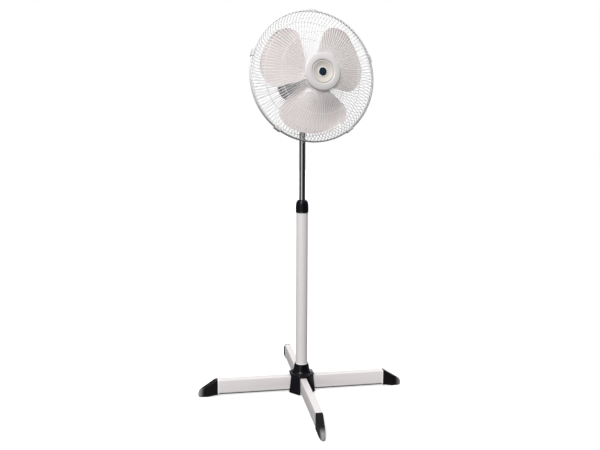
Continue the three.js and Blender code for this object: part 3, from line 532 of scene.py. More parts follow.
def end_caps():
    steps = [GAP + 0.02, 1, 3, 5, 7, 9, 14, 20, 26, 32, 38, 42]
    xs = [BAR_HALF + step for step in steps]
    xs += [CAP_TIP - CAP_NOSE * math.cos(math.pi / 2 * k / 14) for k in range(15)]
    plug_width, plug_height = BAR_W - 2 * BAR_WALL - 2 * GAP, 42
    plug = loft([[(x, u * s, BAR_MIDDLE + v * s) for u, v in rounded_rectangle(plug_width, plug_height, 2)]
                 for x, s in ((BAR_HALF - 14, 0.93), (BAR_HALF - 12, 1), (BAR_HALF + 2, 1))])
    for side, quarter in (("right", 0), ("rear", 90), ("left", 180), ("front", 270)):
        place = MM @ rotation(quarter)
        piece("cap_" + side, [loft([cap_section(x) for x in xs])], place, "stand",
              ["end_cap_" + side], CAP, add=[plug], sharp=50)
        # a bright band at each bar's end, a painted highlight on the end's edge
        piece("bar_end_highlight_" + side, [bright_band()], place, "stand", [], TRIM_AND_HIGHLIGHT)


def octagon(reach, half, z, round_by=5):
    """Rounded eight-sided loop. Four sides cross the bars at `reach` and are `half` long to each side."""
    corners = [(reach, -half), (reach, half), (half, reach), (-half, reach),
               (-reach, half), (-reach, -half), (-half, -reach), (half, -reach)]
    return [(x, y, z) for x, y in filleted([(x, y, round_by) for x, y in corners], 5, True)]


def hub():
    outer = [octagon(r, h, z) for r, h, z in (
        (42.4, 15.7, 1.5), (43.2, 16, 2.3), (43, 16, 5), (41.4, 15.6, 16), (39.6, 15, 32), (38, 14.4, 48),
        (37.2, 14, HUB_TOP - 1.4), (36.4, 13.6, HUB_TOP - 0.3), (35.6, 13.2, HUB_TOP))]
    inner = [octagon(r, h, z, 3) for r, h, z in ((40, 14.6, -1), (39.8, 14.6, 2), (34.4, 12.8, BAR_TOP + 1))]
    half, top, beyond = BAR_W / 2 + 0.5, BAR_TOP + 0.6, 70
    arch = filleted([(half, -2), (half, top, 4), (-half, top, 4), (-half, -2)], 5)
    along_x = moved(prism(arch, -beyond, beyond), TO_X)
    piece("hub", [loft(outer)], MM, "stand", ["base_hub"], BLACK,
          cut=[loft(inner), along_x, turn(along_x, 90), rod(POLE_R + 0.4, HUB_TOP - 8, HUB_TOP + 8, 0, 96)],
          bevel=0.5, sharp=45)


def cover():
    """Flange on the hub, the cup that rises from it around the pole, and a bright ring in its mouth, a
    painted highlight on the pole's lower edge.
    """
    z = HUB_TOP + GAP
    flange = loft([octagon(r, h, z + up, 7) for r, h, up in (
        (38.6, 14.8, 0), (39.5, 15.1, 0.6), (39.7, 15.2, 2), (39.2, 15, 3.8), (37.6, 14.5, 5),
        (35, 13.6, 5.5))])
    cup = lathe(filleted([(0, z + 1), (31, z + 1), (33.4, z + 5.6, 1.5), (29.6, z + 8.4, 3), (27, z + 12, 3),
                          (24.6, z + 24, 8), (22.9, COVER_TOP - 1.6, 1), (21.6, COVER_TOP, 0.8),
                          (POLE_R + 1.4, COVER_TOP, 0.5), (POLE_R, COVER_TOP - 2.4),
                          (0, COVER_TOP - 2.4)], 5))
    piece("hub_collar", [flange], MM, "stand", ["hub_cover"], BLACK,
          add=[cup], cut=[rod(POLE_R + 0.35, 0, 200, 0, 96)], sharp=40)
    # bright lip standing in for the highlight on the pole's lower edge
    lip = lathe(filleted([(POLE_R + 0.03, COVER_TOP - 1.2), (POLE_R + 0.9, COVER_TOP - 1, 0.3),
                          (POLE_R + 0.9, COVER_TOP + 0.8, 0.4), (POLE_R + 0.03, COVER_TOP + 1)], 3))
    piece("pole_ring", [lip], MM, "stand", [], TRIM_AND_HIGHLIGHT)


def foot_bolt():
    thread_from, thread_steps = 40, 150

    def thread(a, r, z):
        return 0.12 * math.sin(a + z * 2 * math.pi / BOLT_PITCH) if r > 3.5 else 0

    threaded = [(BOLT_R - 0.15, thread_from + i * 0.3) for i in range(thread_steps)]
    shank = lathe([(0, 3), (BOLT_R, 3)] + threaded + [(3.2, 87), (0, 88)], 32, thread)
    head = bolt_head(13, ((0.9, 1), (1, 1.6), (1, BAR_Z - GAP - 0.4), (0.97, BAR_Z - GAP)))
    piece("foot_bolt", [head], MM, "stand", ["base_bolt"], STEEL, add=[shank])


# ---------------- mast
def pole():
    bottom, top = BAR_TOP + GAP, POLE_TOP - 0.2
    wall = lathe(filleted([(POLE_R - POLE_WALL, bottom, 0.3), (POLE_R, bottom, 0.3), (POLE_R, top, 0.5),
                           (POLE_R - POLE_WALL, top, 0.3)], 3, True), 128)
    piece("pole", [wall], MM, "stand", ["lower_pole"], PAINT)


def collar():
    """Height collar: a short straight band, then a fluted body that narrows to the upper tube."""
    bush_r, bush_top, straight_r = 16, 603.6, 18

    def flutes(a, r, z):
        fade = max(0.0, min(1.0, (z - 601) / 3, (626 - z) / 5))
        return -0.30 * fade * waves(a, 14) if r > straight_r and z > POLE_TOP else 0

    outside = filleted([(POLE_R + 0.4, COLLAR_BOTTOM + 0.6, 0.2), (POLE_R + 1, COLLAR_BOTTOM, 0.4),
                        (COLLAR_R - 0.3, COLLAR_BOTTOM, 0.5), (COLLAR_R, COLLAR_BOTTOM + 2.2, 0.5),
                        (COLLAR_R - 0.5, COLLAR_BOTTOM + 3.1, 0.3), (COLLAR_R, COLLAR_BOTTOM + 4.2, 0.5),
                        (COLLAR_R + 0.15, 612, 4), (COLLAR_R - 0.7, 624, 6), (COLLAR_R - 3.4, 633.5, 4),
                        (COLLAR_R - 7.6, COLLAR_TOP, 1.6), (TUBE_R + 1, COLLAR_TOP, 0.3),
                        (TUBE_R + 0.6, COLLAR_TOP - 0.5), (TUBE_R + 0.6, 626), (bush_r, 622),
                        (bush_r, bush_top), (POLE_R + 0.4, bush_top)], 7, False)
    dense = []
    for (ra, za), (rb, zb) in zip(outside, outside[1:]):
        cuts = max(1, int(abs(zb - za) / 1.5)) if min(ra, rb) > straight_r else 1
        dense += [(ra + (rb - ra) * k / cuts, za + (zb - za) * k / cuts) for k in range(cuts)]
    dense.append(outside[-1])
    piece("collar", [lathe(dense, 168, flutes)], MM, "height_collar", ["height_collar"],
          BLACK)


def chrome_tube():
    wall = lathe(filleted([(TUBE_R - TUBE_WALL, TUBE_BOTTOM, 0.3), (TUBE_R, TUBE_BOTTOM, 0.4),
                           (TUBE_R, TUBE_TOP, 0.4), (TUBE_R - TUBE_WALL, TUBE_TOP, 0.3)], 3, True), 96)
    piece("chrome_tube", [wall], MM, "mast", ["upper_tube"], CHROME)


# ---------------- neck
def socket():
    body = lathe(filleted([(0, PIVOT_Z - 38), (13.2, PIVOT_Z - 38, 0.8), (15, PIVOT_Z - 35.5, 1),
                           (16.4, PIVOT_Z - 18, 3), (16.4, PIVOT_Z - 13, 1.2), (0, PIVOT_Z - 13)], 4))
    angles = [math.pi * i / 24 for i in range(25)]
    arc = [(EAR_R * math.cos(a), PIVOT_Z + EAR_R * math.sin(a)) for a in angles]
    ear = [(EAR_R, PIVOT_Z - 24)] + arc + [(-EAR_R, PIVOT_Z - 24)]
    spans = ((-EAR_OUTER, -TONGUE - GAP), (TONGUE + GAP, EAR_OUTER))
    ears = [moved(prism(ear, *span), TO_X) for span in spans]
    tilt_hole = shift(turn(rod(TILT_HOLE_R, -60, 60, 0), 90, "Y"), z=PIVOT_Z)
    screw_hole = shift(turn(rod(2.3, 0, 40, 0), -90, "X"), z=PIVOT_Z - 30)
    piece("neck_cup", [body], MM, "mast", ["neck_socket"], WHITE, add=ears,
          cut=[rod(TUBE_R + GAP, PIVOT_Z - 60, TUBE_TOP + GAP, 0), tilt_hole, screw_hole], bevel=0.7)


def pivot_bolt():
    place = MM @ (Matrix.Translation((0, 0, PIVOT_Z)) @ rotation(90, "Y"))
    z = -EAR_OUTER - GAP
    head = bolt_head(10, ((0.86, z - 4), (1, z - 3.3), (1, z - 0.3), (0.97, z)))
    piece("pivot_bolt", [head], place, "mast", ["tilt_bolt"], STEEL,
          add=[rod(3, z - 1, EAR_OUTER + 9.5, 0.4)])


def pivot_knob():
    """Tilt knob, tapering outwards to stay clear of the rear guard when the head is swung fully round."""
    def lobes(a, r, z):
        return math.cos(5 * a) * max(0.0, min(1.0, (r - 7) / 2.5))

    profile = filleted([(0, -3), (7, -3, 0.8), (7, -0.1, 0.4), (9.3, 0, 1), (9.7, 2.2, 2), (8.6, 5.6, 3),
                        (6.4, 7.4, 1), (6, 8.8, 0.8), (0, 8.8)], 5)
    at = Matrix.Translation((EAR_OUTER + GAP + 3, 0, PIVOT_Z)) @ rotation(90, "Y")
    piece("pivot_knob", [lathe(profile, 120, lobes)], MM @ at, "tilt_knob", ["tilt_knob"],
          BLACK, cut=[rod(TILT_HOLE_R, -4, 7, 0)])


def tilt_block():
    """Tongue between the ears, with the platform that the head swings on and the tab of the link's pin."""
    tongue = turn(rod(9.5, -TONGUE, TONGUE, 0, 64), 90, "Y")
    piece("tilt_block", [tongue], NECK, "neck", ["tilt_bracket"], WHITE,
          add=[rod(9, 0, PLATFORM_Z + 1, 0, 64), arm((0, 0), ANCHOR, 12, 5.5, TAB_Z, LINK_Z - 0.5),
               rod(15, PLATFORM_Z, BOSS_Z - 0.4, 0, 64)],
          cut=[turn(rod(TILT_HOLE_R, -60, 60, 0), 90, "Y"), rod(SWIVEL_HOLE_R, 9, 60, 0),
               shift(rod(2.1, 0, 16, 0), *ANCHOR)], bevel=0.45)


# ---------------- motor
def casting():
    boss = rod(10, BOSS_Z, 39, 0, 64)
    shaft_hole = moved(rod(9.2, 30, 60, 0), Matrix.Translation((0, 0, AXIS_UP)) @ rotation(-90, "X"))
    piece("motor_casting", [boss], HEAD, "head", ["motor_bracket"], CAST,
          add=[box(-9, 9, -4, 44, 29, 39), box(-28, 28, 40, 43.5, 36, 122)],
          cut=[rod(SWIVEL_HOLE_R, 0, 60, 0), shaft_hole], bevel=0.6)


def side_vents(length_from, length_to, width, underside=31):
    """Slot cutters through the side of the housing, none within some degrees of its underside."""
    slot = box(HOUSING_R - 14, HOUSING_R + 4, -width / 2, width / 2, length_from, length_to)
    bearings = [360 * (i + 0.5) / SIDE_VENTS for i in range(SIDE_VENTS)]
    return merged([turn(slot, bearing) for bearing in bearings if abs(bearing - 90) >= underside])


def shell_front():
    r, w, y0, y1 = HOUSING_R, HOUSING_WALL, HOUSING_FRONT, HOUSING_SPLIT
    profile = filleted([(22.4, y0, 0.4), (r - 8, y0, 4), (r, y0 + 9, 5), (r, y1 - 3.2, 0.3),
                        (r - 0.5, y1 - 3, 0.2), (r - 0.5, y1, 0.3), (r - w, y1, 0.3), (r - w, y0 + 10, 4),
                        (r - 9, y0 + w, 3), (22.4, y0 + w, 0.4)], 6, True)
    louvre = box(31, r + 4, -1.0, 1.0, y0 - 5, y0 + 28)
    piece("shell_front", [lathe(profile, 144)], AXIS, "head", ["motor_housing_front"],
          WHITE, cut=[merged(around(louvre, FRONT_VENTS)), moved(rod(16.5, 0, 40, 0), AXIS_TO_HEAD)],
          bevel=0.25)


def shell_rear():
    r, w, y0, y1 = HOUSING_R, HOUSING_WALL, HOUSING_SPLIT + GAP, HOUSING_REAR
    profile = filleted([(r - w, y0, 0.3), (r - 0.5, y0, 0.3), (r - 0.5, y0 + 2.6, 0.2), (r, y0 + 3, 0.3),
                        (r - 1, y0 + 40, 20), (r - 6, y0 + 58, 12), (r - 16, y1 - 5, 8), (r - 28, y1, 6),
                        (6, y1, 0.4), (6, y1 - w, 0.4), (r - 28.6, y1 - w, 5), (r - 18, y1 - w - 5, 7),
                        (r - w - 6.2, y0 + 57, 11), (r - w - 1, y0 + 39, 19)], 6, True)
    holes = [shift(rod(3, AXIS_UP, 200, 0), *SPINDLE), shift(rod(5, -20, 60, 0), *CRANK),
             shift(rod(4.8, -20, 40, 0), *GLAND)]
    piece("shell_rear", [lathe(profile, 144)], AXIS, "head", ["motor_housing_rear"],
          WHITE, cut=[side_vents(y0 + 6, y0 + 38, 3.2)] + [moved(hole, AXIS_TO_HEAD) for hole in holes],
          bevel=0.25)


def shell_screws():
    y = HOUSING_REAR
    profile = filleted([(0, y - 6), (3.1, y - 6), (3.1, y - 2.6, 0.6), (2.2, y - 1.9, 0.5), (0, y - 1.7)], 4)
    cross = [box(-1.8, 1.8, -0.35, 0.35, y - 2.6, y), box(-0.35, 0.35, -1.8, 1.8, y - 2.6, y)]
    for i, at in enumerate(((-38, 20), (38, 20), (0, -42))):
        piece(f"shell_screw_{i + 1}", [shift(lathe(profile, 40), *at)], AXIS, "head", [], STEEL,
              cut=[shift(groove, *at) for groove in cross])


def nose():
    """Threaded nose of the motor, which the rear guard's nut turns on."""
    flange = HOUSING_FRONT - GAP
    profile = filleted([(6.4, -38, 0.4), (17.4, -38, 0.8)], 3)
    profile += [(19.9 - 0.35 * (k % 2), -36.6 + k * 0.6) for k in range(24)]
    profile += filleted([(20, flange), (22, flange, 0.2), (22, -10, 1), (40, -10, 0.5), (40, -7, 0.5),
                         (6.4, -7)], 3)
    piece("nose", [lathe(profile)], AXIS, "head", ["motor_nose"], CAST)


def pull_knob():
    def grip(a, r, z):
        return -0.35 * waves(a, 16) if r > 5 and z > 152 else 0

    profile = filleted([(0, 144), (5.4, 144, 0.6), (6, 146, 0.8), (5, 150.5, 2), (5.2, 152, 1),
                        (7.3, 155, 1.6), (7, 160, 2), (4.2, 161.5, 1.2), (0, 161.8)], 5)
    piece("pull_knob", [lathe(profile, 112, grip)], HEAD @ Matrix.Translation((*SPINDLE, 0)), "swing_knob",
          ["swing_knob"], BLACK, cut=[rod(2.3, 140, 147.4, 0)])


def dial():
    """Speed knob with a raised bar and a groove as pointer, and four marks of growing size beside it."""
    y = HOUSING_REAR

    def knurl(a, r, z):
        return -0.25 * waves(a, 36) if r > 15 else 0

    profile = filleted([(0, y + 1.2), (17, y + 1.2, 0.6), (16.5, y + 6, 1), (14.4, y + 8, 1.2),
                        (0, y + 8.4)], 5)
    bar = box(-3.2, 3.2, -14.6, 14.6, y + 5, y + 15.6)
    groove = box(-0.5, 0.5, 6, 16, y + 15.2, y + 17)
    piece("dial", [lathe(profile, 180, knurl)], AXIS, "speed_knob", ["speed_knob"], BLACK,
          add=[bar], cut=[rod(3.3, 90, 114, 0), groove], bevel=0.5, sharp=40)
    marks, smallest, growth, off_centre = 4, 0.8, 0.25, -22
    for i in range(marks):
        dot = shift(rod(smallest + growth * i, y - 1, y + 0.35, 0.2, 24), 0, off_centre)
        piece(f"dial_mark_{i}", [turn(dot, 180 - 40 * i)], AXIS, "head", [], BLACK)


def gland():
    profile = filleted([(0, 21), (6.1, 21, 0.4), (6.5, 22, 0.4), (6.5, 24.5, 0.4), (3.9, 24.9, 0.3),
                        (3.9, 37), (0, 37)], 3)
    piece("gland", [lathe(profile, 48)], HEAD @ Matrix.Translation((*GLAND, 3.9)), "head", ["cable_gland"],
          BLACK, cut=[rod(2.2, 0, 60, 0)])


# ---------------- swing linkage under the motor
def linkage():
    """Link from the neck's pin to the crank, with a slotted eye, and the crank disc with its pin."""
    turn_by = math.radians(-REST_SWING)
    anchor = (ANCHOR[0] * math.cos(turn_by), ANCHOR[0] * math.sin(turn_by))
    eye = (anchor[0], anchor[1] + CRANK[1])
    left, right = (eye[0] - 3.8, eye[1]), (eye[0] + 3.8, eye[1])
    z0, z1 = LINK_Z, LINK_Z + 2.7
    slot_r = LINK_PIN_R + 2.4
    piece("link", [arm(anchor, eye, 4.4, 3.4, z0, z1)], HEAD, "link", ["link_arm"], STEEL,
          add=[arm(left, right, slot_r + 1.8, slot_r + 1.8, z0, z1)],
          cut=[arm(left, right, slot_r, slot_r, z0 - 1, z1 + 1),
               shift(rod(LINK_PIN_R + GAP, 0, 40, 0), *anchor)], bevel=0.35)
    at = Matrix.Translation((*CRANK, 0)) @ rotation(180 - 2.25 * REST_SWING)
    piece("crank", [rod(15.4, 17.9, 21.2, 0.6, 72)], HEAD @ at, "crank", ["crank_disc"], STEEL,
          add=[shift(rod(LINK_PIN_R, 13.2, 18.5, 0.3), CRANK_R)])


# ---------------- guards
def smooth_path(stations, per=6):
    """Catmull-Rom curve through (r, f) stations."""
    points = [Vector(s) for s in stations]
    ends = [2 * points[0] - points[1]] + points + [2 * points[-1] - points[-2]]
    out = []
    for a, b, c, d in zip(ends, ends[1:], ends[2:], ends[3:]):
        for k in range(per):
            t = k / per
            out.append(0.5 * (2 * b + (c - a) * t + (2 * a - 5 * b + 4 * c - d) * t * t
                              + (3 * b - a - 3 * c + d) * t ** 3))
    return out + [points[-1]]


def ring_path(r, f, n):
    """Circle of n points about Z at height f."""
    return [(r * math.cos(2 * math.pi * i / n), r * math.sin(2 * math.pi * i / n), f) for i in range(n)]


def guard(name, node, profile, rings, rim_f):
    """Wires bent along a profile of (radius, forward) stations, ring wires inside them, and the rim."""
    path = smooth_path(profile)
    shapes = []
    for wire in range(WIRES):
        a = 2 * math.pi * wire / WIRES
        shapes.append(sweep([(p.x * math.cos(a), p.x * math.sin(a), p.y) for p in path], WIRE_R, 6))
    inwards = WIRE_R * (1 if rim_f < 0 else -1) * 1.4
    for r, f in rings:
        shapes.append(sweep(ring_path(r, f + inwards, 160), RING_WIRE_R, 8, True))
    rim = sweep(ring_path(RIM_R, rim_f, 220), RIM_WIRE, 14, True)
    obj = piece(name, shapes + [rim], RIM, "head", [node], WIRE, sharp=60)
    # the rim's own material, with painted shade low down and painted light high up
    obj.data.materials.append(RIM_PAINT)
    rim_faces = len(rim[1])
    for polygon in obj.data.polygons[-rim_faces:]:
        polygon.material_index = 1


def guards():
    guard("guard_front", "front_guard",
          [(43, 70.5), (47, 70.5), (84, 66.2), (122, 60.1), (146, 52.8), (167, 44.8), (180, 35), (190, 20.5),
           (196.4, 8.5), (197.6, 3.2)], [(45, 70.5), (122, 60.1), (167, 44.8)], RIM_F)
    guard("guard_rear", "rear_guard",
          [(50, -71), (53, -71), (90, -70), (130, -66.8), (156, -58.8), (177, -49.6), (186, -38),
           (192, -22.5), (196.6, -9), (197.6, -3.2)], [(51.5, -71), (130, -66.8), (177, -49.6)], -RIM_F)


def guard_disc():
    """Pressed plate in the middle of the rear guard."""
    plate = filleted([(20.4, -72, 0.3), (49, -72, 0.6), (49, -70.6, 0.6), (44, -70, 0.8), (42, -68.9, 0.8),
                      (38, -68.9, 0.8), (36, -70, 0.8), (20.4, -70, 0.3)], 4, True)
    holes = around(shift(rod(2.2, -75, -65, 0), 26), 4)
    vents = around(box(35, 46.5, -0.9, 0.9, -75, -65), FRONT_VENTS)
    piece("guard_disc", [lathe(plate, 128)], RIM, "head", ["guard_plate"], WIRE,
          cut=holes + [merged(vents)])


def lock_ring():
    """Nut that holds the rear guard."""
    def scallop(a, r, z):
        return -0.9 * waves(a, 10) if r > 28 and z > -68.6 else 0

    profile = filleted([(20.4, -69.3, 0.3), (33, -69.3, 0.5), (33, -66, 1), (29.4, -62, 2), (27, -57.7, 1),
                        (20.4, -57.7, 0.4)], 6, True)
    piece("lock_ring", [lathe(profile, 160, scallop)], RIM, "head", ["guard_nut"], WHITE)


# ---------------- badge
def badge():
    """Raised rim around a groove, a lip and a ribbed dish, with the dark disc and its ring at the bottom."""
    profile = filleted([(0, 66), (30, 66, 0.6), (30, 68.6, 0.5), (41.5, 68.6, 0.5), (41.5, 72.6, 0.4),
                        (55.4, 72.6, 0.8), (56.2, 74.4, 1), (55.8, 76.6, 1.6), (52.6, 78.9, 4),
                        (44, 80.6, 8), (37, 80.9, 1.2), (34.8, 79.2, 0.6), (33.6, 76.9, 0.6),
                        (32.6, 76.9, 0.3), (32.4, 79.4, 0.3), (31.4, 79.7, 0.3), (31.2, DISH_RIM, 0.2)], 5)
    for i in range(17):
        floor_z = DISH_RIM - DISH_DEPTH * math.sin(i / 16 * math.pi / 2)
        profile.append((DISH_R - i, floor_z + (DISH_RIDGE if i % 2 else 0)))
    bottom = DISH_RIM - DISH_DEPTH
    profile += [(14.6, bottom), (0, bottom)]
    shell = piece("badge", [lathe(profile, 160)], RIM, "head", ["guard_badge"], WHITE,
                  sharp=50)
    shell.data.materials.append(DISH)
    to_rim = RIM.inverted()
    for polygon in shell.data.polygons:
        middle = to_rim @ polygon.center
        if math.hypot(middle.x, middle.y) < DISH_R + 0.5 and middle.z > 72:
            polygon.material_index = 1
    disc = filleted([(0, 75.4), (12, 75.4, 0.2), (12.4, 76, 0.4), (11.2, 76.7, 0.6), (0, 77.1)], 5)
    piece("badge_face", [lathe(disc)], RIM, "head", ["badge_disc"], NAVY)
    ring = filleted([(12.5, 75.3), (14.4, 75.3, 0.2), (14.2, 76.3, 0.4), (12.9, 76.5, 0.3), (12.5, 76.4)], 3)
    piece("badge_ring", [lathe(ring)], RIM, "head", [], TRIM_AND_HIGHLIGHT)


# ---------------- impeller
def blade(n_r=34, n_v=30):
    """One closed blade about Z: two skins a wall apart, thinning to a round edge."""
    root, corner, corner_span = 20, 45, math.radians(26)
    span_root, span_tip = math.radians(52), math.radians(45)

    def surface(r, v):
        share = (r - root) / (BLADE_R - root)
        into = max(0.0, r - (BLADE_R - corner)) / corner
        cut_off = corner_span * (1 - math.sqrt(max(0.0, 1 - into * into)))
        half = span_root + (span_tip - span_root) * share - cut_off
        depth, middle = 34 + 16 * share, -24 + 20 * share
        forward = middle + depth * v * half / span_tip - 7 * share * (1 - 4 * v * v)
        return Vector((r * math.cos(2 * half * v), r * math.sin(2 * half * v), forward))

    radii = [root + (BLADE_R - corner - root) * i / (n_r - 13) for i in range(n_r - 12)]
    radii += [BLADE_R - corner * (1 - math.sin(math.pi / 2 * (i + 1) / 12)) for i in range(12)]
    last, rows, columns = len(radii) - 1, len(radii), n_v + 1
    verts = []
    for level in (-1, 1):
        for i, r in enumerate(radii):
            for j in range(columns):
                v = j / n_v - 0.5
                away = min(1.0, (last - i) / 5, j / 3, (n_v - j) / 3)
                thick = BLADE_T / 2 * (0.35 + 0.65 * math.sqrt(max(0.0, 1 - (1 - away) ** 2)))
                p = surface(r, v)
                verts.append((p.x, p.y, p.z + level * thick))

    def at(level, i, j):
        return level * rows * columns + i * columns + j

    faces = []
    for i in range(last):
        for j in range(n_v):
            faces.append((at(1, i, j), at(1, i + 1, j), at(1, i + 1, j + 1), at(1, i, j + 1)))
            faces.append((at(0, i, j), at(0, i, j + 1), at(0, i + 1, j + 1), at(0, i + 1, j)))
        faces.append((at(0, i, 0), at(0, i + 1, 0), at(1, i + 1, 0), at(1, i, 0)))
        faces.append((at(0, i, n_v), at(1, i, n_v), at(1, i + 1, n_v), at(0, i + 1, n_v)))
    for j in range(n_v):
        faces.append((at(1, 0, j), at(1, 0, j + 1), at(0, 0, j + 1), at(0, 0, j)))
        faces.append((at(0, last, j), at(0, last, j + 1), at(1, last, j + 1), at(1, last, j)))
    return verts, faces


def impeller():
    r = BLADE_HUB_R
    drum = lathe(filleted([(0, -52), (r, -52, 0.8), (r, -13, 3), (r - 4, -9, 2.5), (0, -9)], 5), 112)
    hollow = lathe([(0, -60), (r - 3, -60), (r - 3, -30), (12, -30), (12, -22), (0, -22)], 96)
    piece("blades", [drum], RIM, "rotor", ["impeller"], BLADE,
          add=[turn(blade(), -90 + 360 / BLADES * i) for i in range(BLADES)],
          cut=[hollow, rod(4.3, -60, 20, 0)], sharp=40)


def spinner():
    def ribs(a, r, z):
        return -0.5 * waves(a, 12) if r > 11 and z > -8.4 else 0

    profile = filleted([(0, 4), (6.6, 3.4, 2), (12, -0.6, 3), (13.9, -8.6, 0.5), (5, -8.6), (5, -3),
                        (0, -3)], 6)
    piece("spinner", [lathe(profile, 120, ribs)], RIM, "rotor", ["blade_nut"], BLACK)


# ---------------- rim clips
def clips():
    """Hooks over both rims, each drawn as (radius, forward) from its pivot on the front rim."""
    inner, outer, wrap = 3.6, 5.3, 130
    tail = -2 * RIM_F - 2.3 - 1.6
    out, back = [wrap * i / 20 for i in range(21)], [wrap * (1 - i / 16) for i in range(17)]
    hook = [(r * math.cos(math.radians(a)), r * math.sin(math.radians(a)))
            for r, angles in ((outer, out), (inner, back)) for a in angles]
    hook += [(inner, tail), (0.9, tail), (0.9, tail - 2), (outer - 0.6, tail - 2), (outer, tail - 1.2)]
    grooves = merged([box(outer - 0.5, outer + 1, -7, 2, s - 0.5, s + 0.5) for s in (-6, -3, 0, 3, 6)])
    swap_y_z = Matrix(((1, 0, 0, 0), (0, 0, 1, 0), (0, 1, 0, 0), (0, 0, 0, 1)))
    for i in range(CLIPS):
        bearing = 90 + 360 / CLIPS * i
        place = RIM @ rotation(bearing) @ Matrix.Translation((CLIP_PIVOT_R, 0, RIM_F)) @ swap_y_z
        piece(f"clip_shell_{i + 1}", [prism(hook, -CLIP_W / 2, CLIP_W / 2)], place, f"clip_{i + 1}",
              [f"guard_clip_{i + 1}"], WHITE, cut=[grooves], bevel=0.35)


# ---------------- CAD solids that stay, with their own finish
KEPT = {
    NYLON: ["clamp_bush", "pole_plug", "tube_guide", "gearbox_case", "gearbox_lid", "worm_wheel",
            "crank_gear"],
    STEEL: ["neck_screw", "swivel_pin", "link_anchor_pin", "stator_core", "rotor_core", "motor_shaft",
            "spindle_pinion", "swing_rod"],
    BRASS: ["front_bearing", "rear_bearing", "worm"],
    COPPER: ["stator_winding"],
    BLACK: ["capacitor", "speed_switch"],
}


def finish_kept_nodes():
    for material, names in KEPT.items():
        for name in names:
            node = frame["nodes"][name]
            if not node.material_slots:
                node.data.materials.append(material)
            for material_slot in node.material_slots:
                material_slot.material = material


# ---------------- floor, world and light
def floor():
    half = 9e3
    material = finish_material("floor_paper", (0.9, 0.9, 0.9), 0.8, tint=0.01, grain=60, bump=0.02,
                               Emission_Color=(1, 1, 1, 1), Emission_Strength=0.4)
    corners = [(-half, -half, 0), (half, -half, 0), (half, half, 0), (-half, half, 0)]
    mesh = to_mesh("floor", [(corners, [(0, 1, 2, 3)])], MM)
    obj = bpy.data.objects.new("floor", mesh)
    obj.location.z = -0.0004
    obj.visible_diffuse = False
    obj.visible_glossy = False
    mesh.materials.append(material)
    link_object(obj)


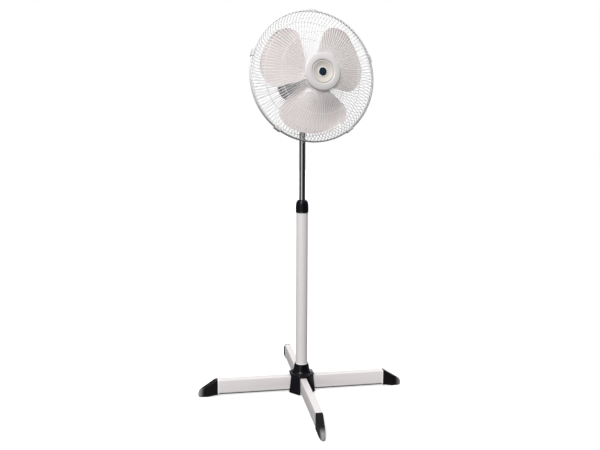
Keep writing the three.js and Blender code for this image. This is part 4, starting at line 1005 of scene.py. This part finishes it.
def world():
    """White backdrop. Soft light from above and the left, dark from below.

    Gloss sees a dim room instead, with one tall lamp in front and one behind.
    """
    data = bpy.data.worlds.new("studio")
    bpy.context.scene.world = data
    data.use_nodes = True
    nodes, links = data.node_tree.nodes, data.node_tree.links
    nodes.remove(nodes["Background"])
    place = nodes.new("ShaderNodeTexCoord")
    split = nodes.new("ShaderNodeSeparateXYZ")
    links.new(place.outputs["Generated"], split.inputs["Vector"])

    def along(axis, stops):
        """Grey by direction, from -1 to 1 along an axis."""
        half = nodes.new("ShaderNodeMapRange")
        half.inputs["From Min"].default_value = -1
        colors = ramp(nodes, [(0.5 + position / 2, (grey, grey, grey * 1.01)) for position, grey in stops])
        links.new(split.outputs[axis], half.inputs["Value"])
        links.new(half.outputs["Result"], colors.inputs["Fac"])
        return colors.outputs["Color"]

    def mixed(kind, a, b, share=None):
        node = nodes.new("ShaderNodeMixRGB")
        node.blend_type = kind
        node.inputs["Fac"].default_value = 1
        if share:
            links.new(share, node.inputs["Fac"])
        links.new(a, node.inputs["Color1"])
        links.new(b, node.inputs["Color2"])
        return node.outputs["Color"]

    def background(color=None):
        node = nodes.new("ShaderNodeBackground")
        node.inputs["Color"].default_value = (1, 1, 1, 1)
        if color:
            links.new(color, node.inputs["Color"])
        return node.outputs["Background"]

    def shader_mix(share, a, b):
        node = nodes.new("ShaderNodeMixShader")
        links.new(share, node.inputs["Fac"])
        links.new(a, node.inputs[1])
        links.new(b, node.inputs[2])
        return node.outputs["Shader"]

    soft = mixed("MULTIPLY", along("X", [(-1, 1), (0, 0.94), (1, 0.66)]),
                 along("Z", [(-1, 0.02), (-0.12, 0.05), (0.08, 0.85), (0.4, 0.95), (1, 0.70)]))
    lamp = along("X", [(-1, 0.16), (-0.78, 0.09), (-0.7, 0.9), (-0.42, 1.1), (-0.3, 0.5), (-0.2, 0.09),
                       (0.2, 0.025), (0.8, 0.02), (1, 0.05)])
    lamp_behind = along("X", [(-1, 0.08), (0.25, 0.06), (0.36, 0.9), (0.62, 0.9), (0.72, 0.08), (1, 0.10)])
    lamps = mixed("MIX", lamp, lamp_behind, along("Y", [(-1, 0), (-0.05, 0), (0.05, 1), (1, 1)]))
    room = mixed("LIGHTEN", lamps, along("Z", [(-1, 0.4), (-0.5, 0.12), (-0.2, 0), (0.5, 0), (0.75, 0.25),
                                               (1, 0.5)]))
    path = nodes.new("ShaderNodeLightPath")
    light = shader_mix(path.outputs["Is Glossy Ray"], background(soft), background(room))
    seen = shader_mix(path.outputs["Is Camera Ray"], light, background())
    links.new(seen, nodes["World Output"].inputs["Surface"])


def sun(name, azimuth, elevation, strength, angle):
    """Sun at an azimuth from straight in front, positive to the right, and an elevation, in degrees."""
    data = bpy.data.lights.new(name, "SUN")
    data.energy, data.angle = strength, math.radians(angle)
    light = bpy.data.objects.new(name, data)
    a, e = math.radians(azimuth), math.radians(elevation)
    towards = Vector((math.sin(a) * math.cos(e), -math.cos(a) * math.cos(e), math.sin(e)))
    light.rotation_euler = towards.to_track_quat("Z", "Y").to_euler()
    link_object(light)


# ---------------- the fan and its studio
foot_bar("bar_side", "foot_bar_side", BAR_X, 0, False)
foot_bar("bar_front", "foot_bar_front", BAR_Y, 90, True)
for make in (end_caps, hub, cover, foot_bolt, pole, collar, chrome_tube, socket, pivot_bolt, pivot_knob,
             tilt_block, casting, shell_front, shell_rear, shell_screws, nose, pull_knob, dial, gland,
             linkage, guards, guard_disc, lock_ring, badge, impeller, spinner, clips,
             finish_kept_nodes, floor, world):
    make()
sun("key", -28, 37, 2.35, 26)
sun("fill_behind", 160, 12, 0.6, 60)
bpy.context.scene.view_settings.view_transform = "Standard"
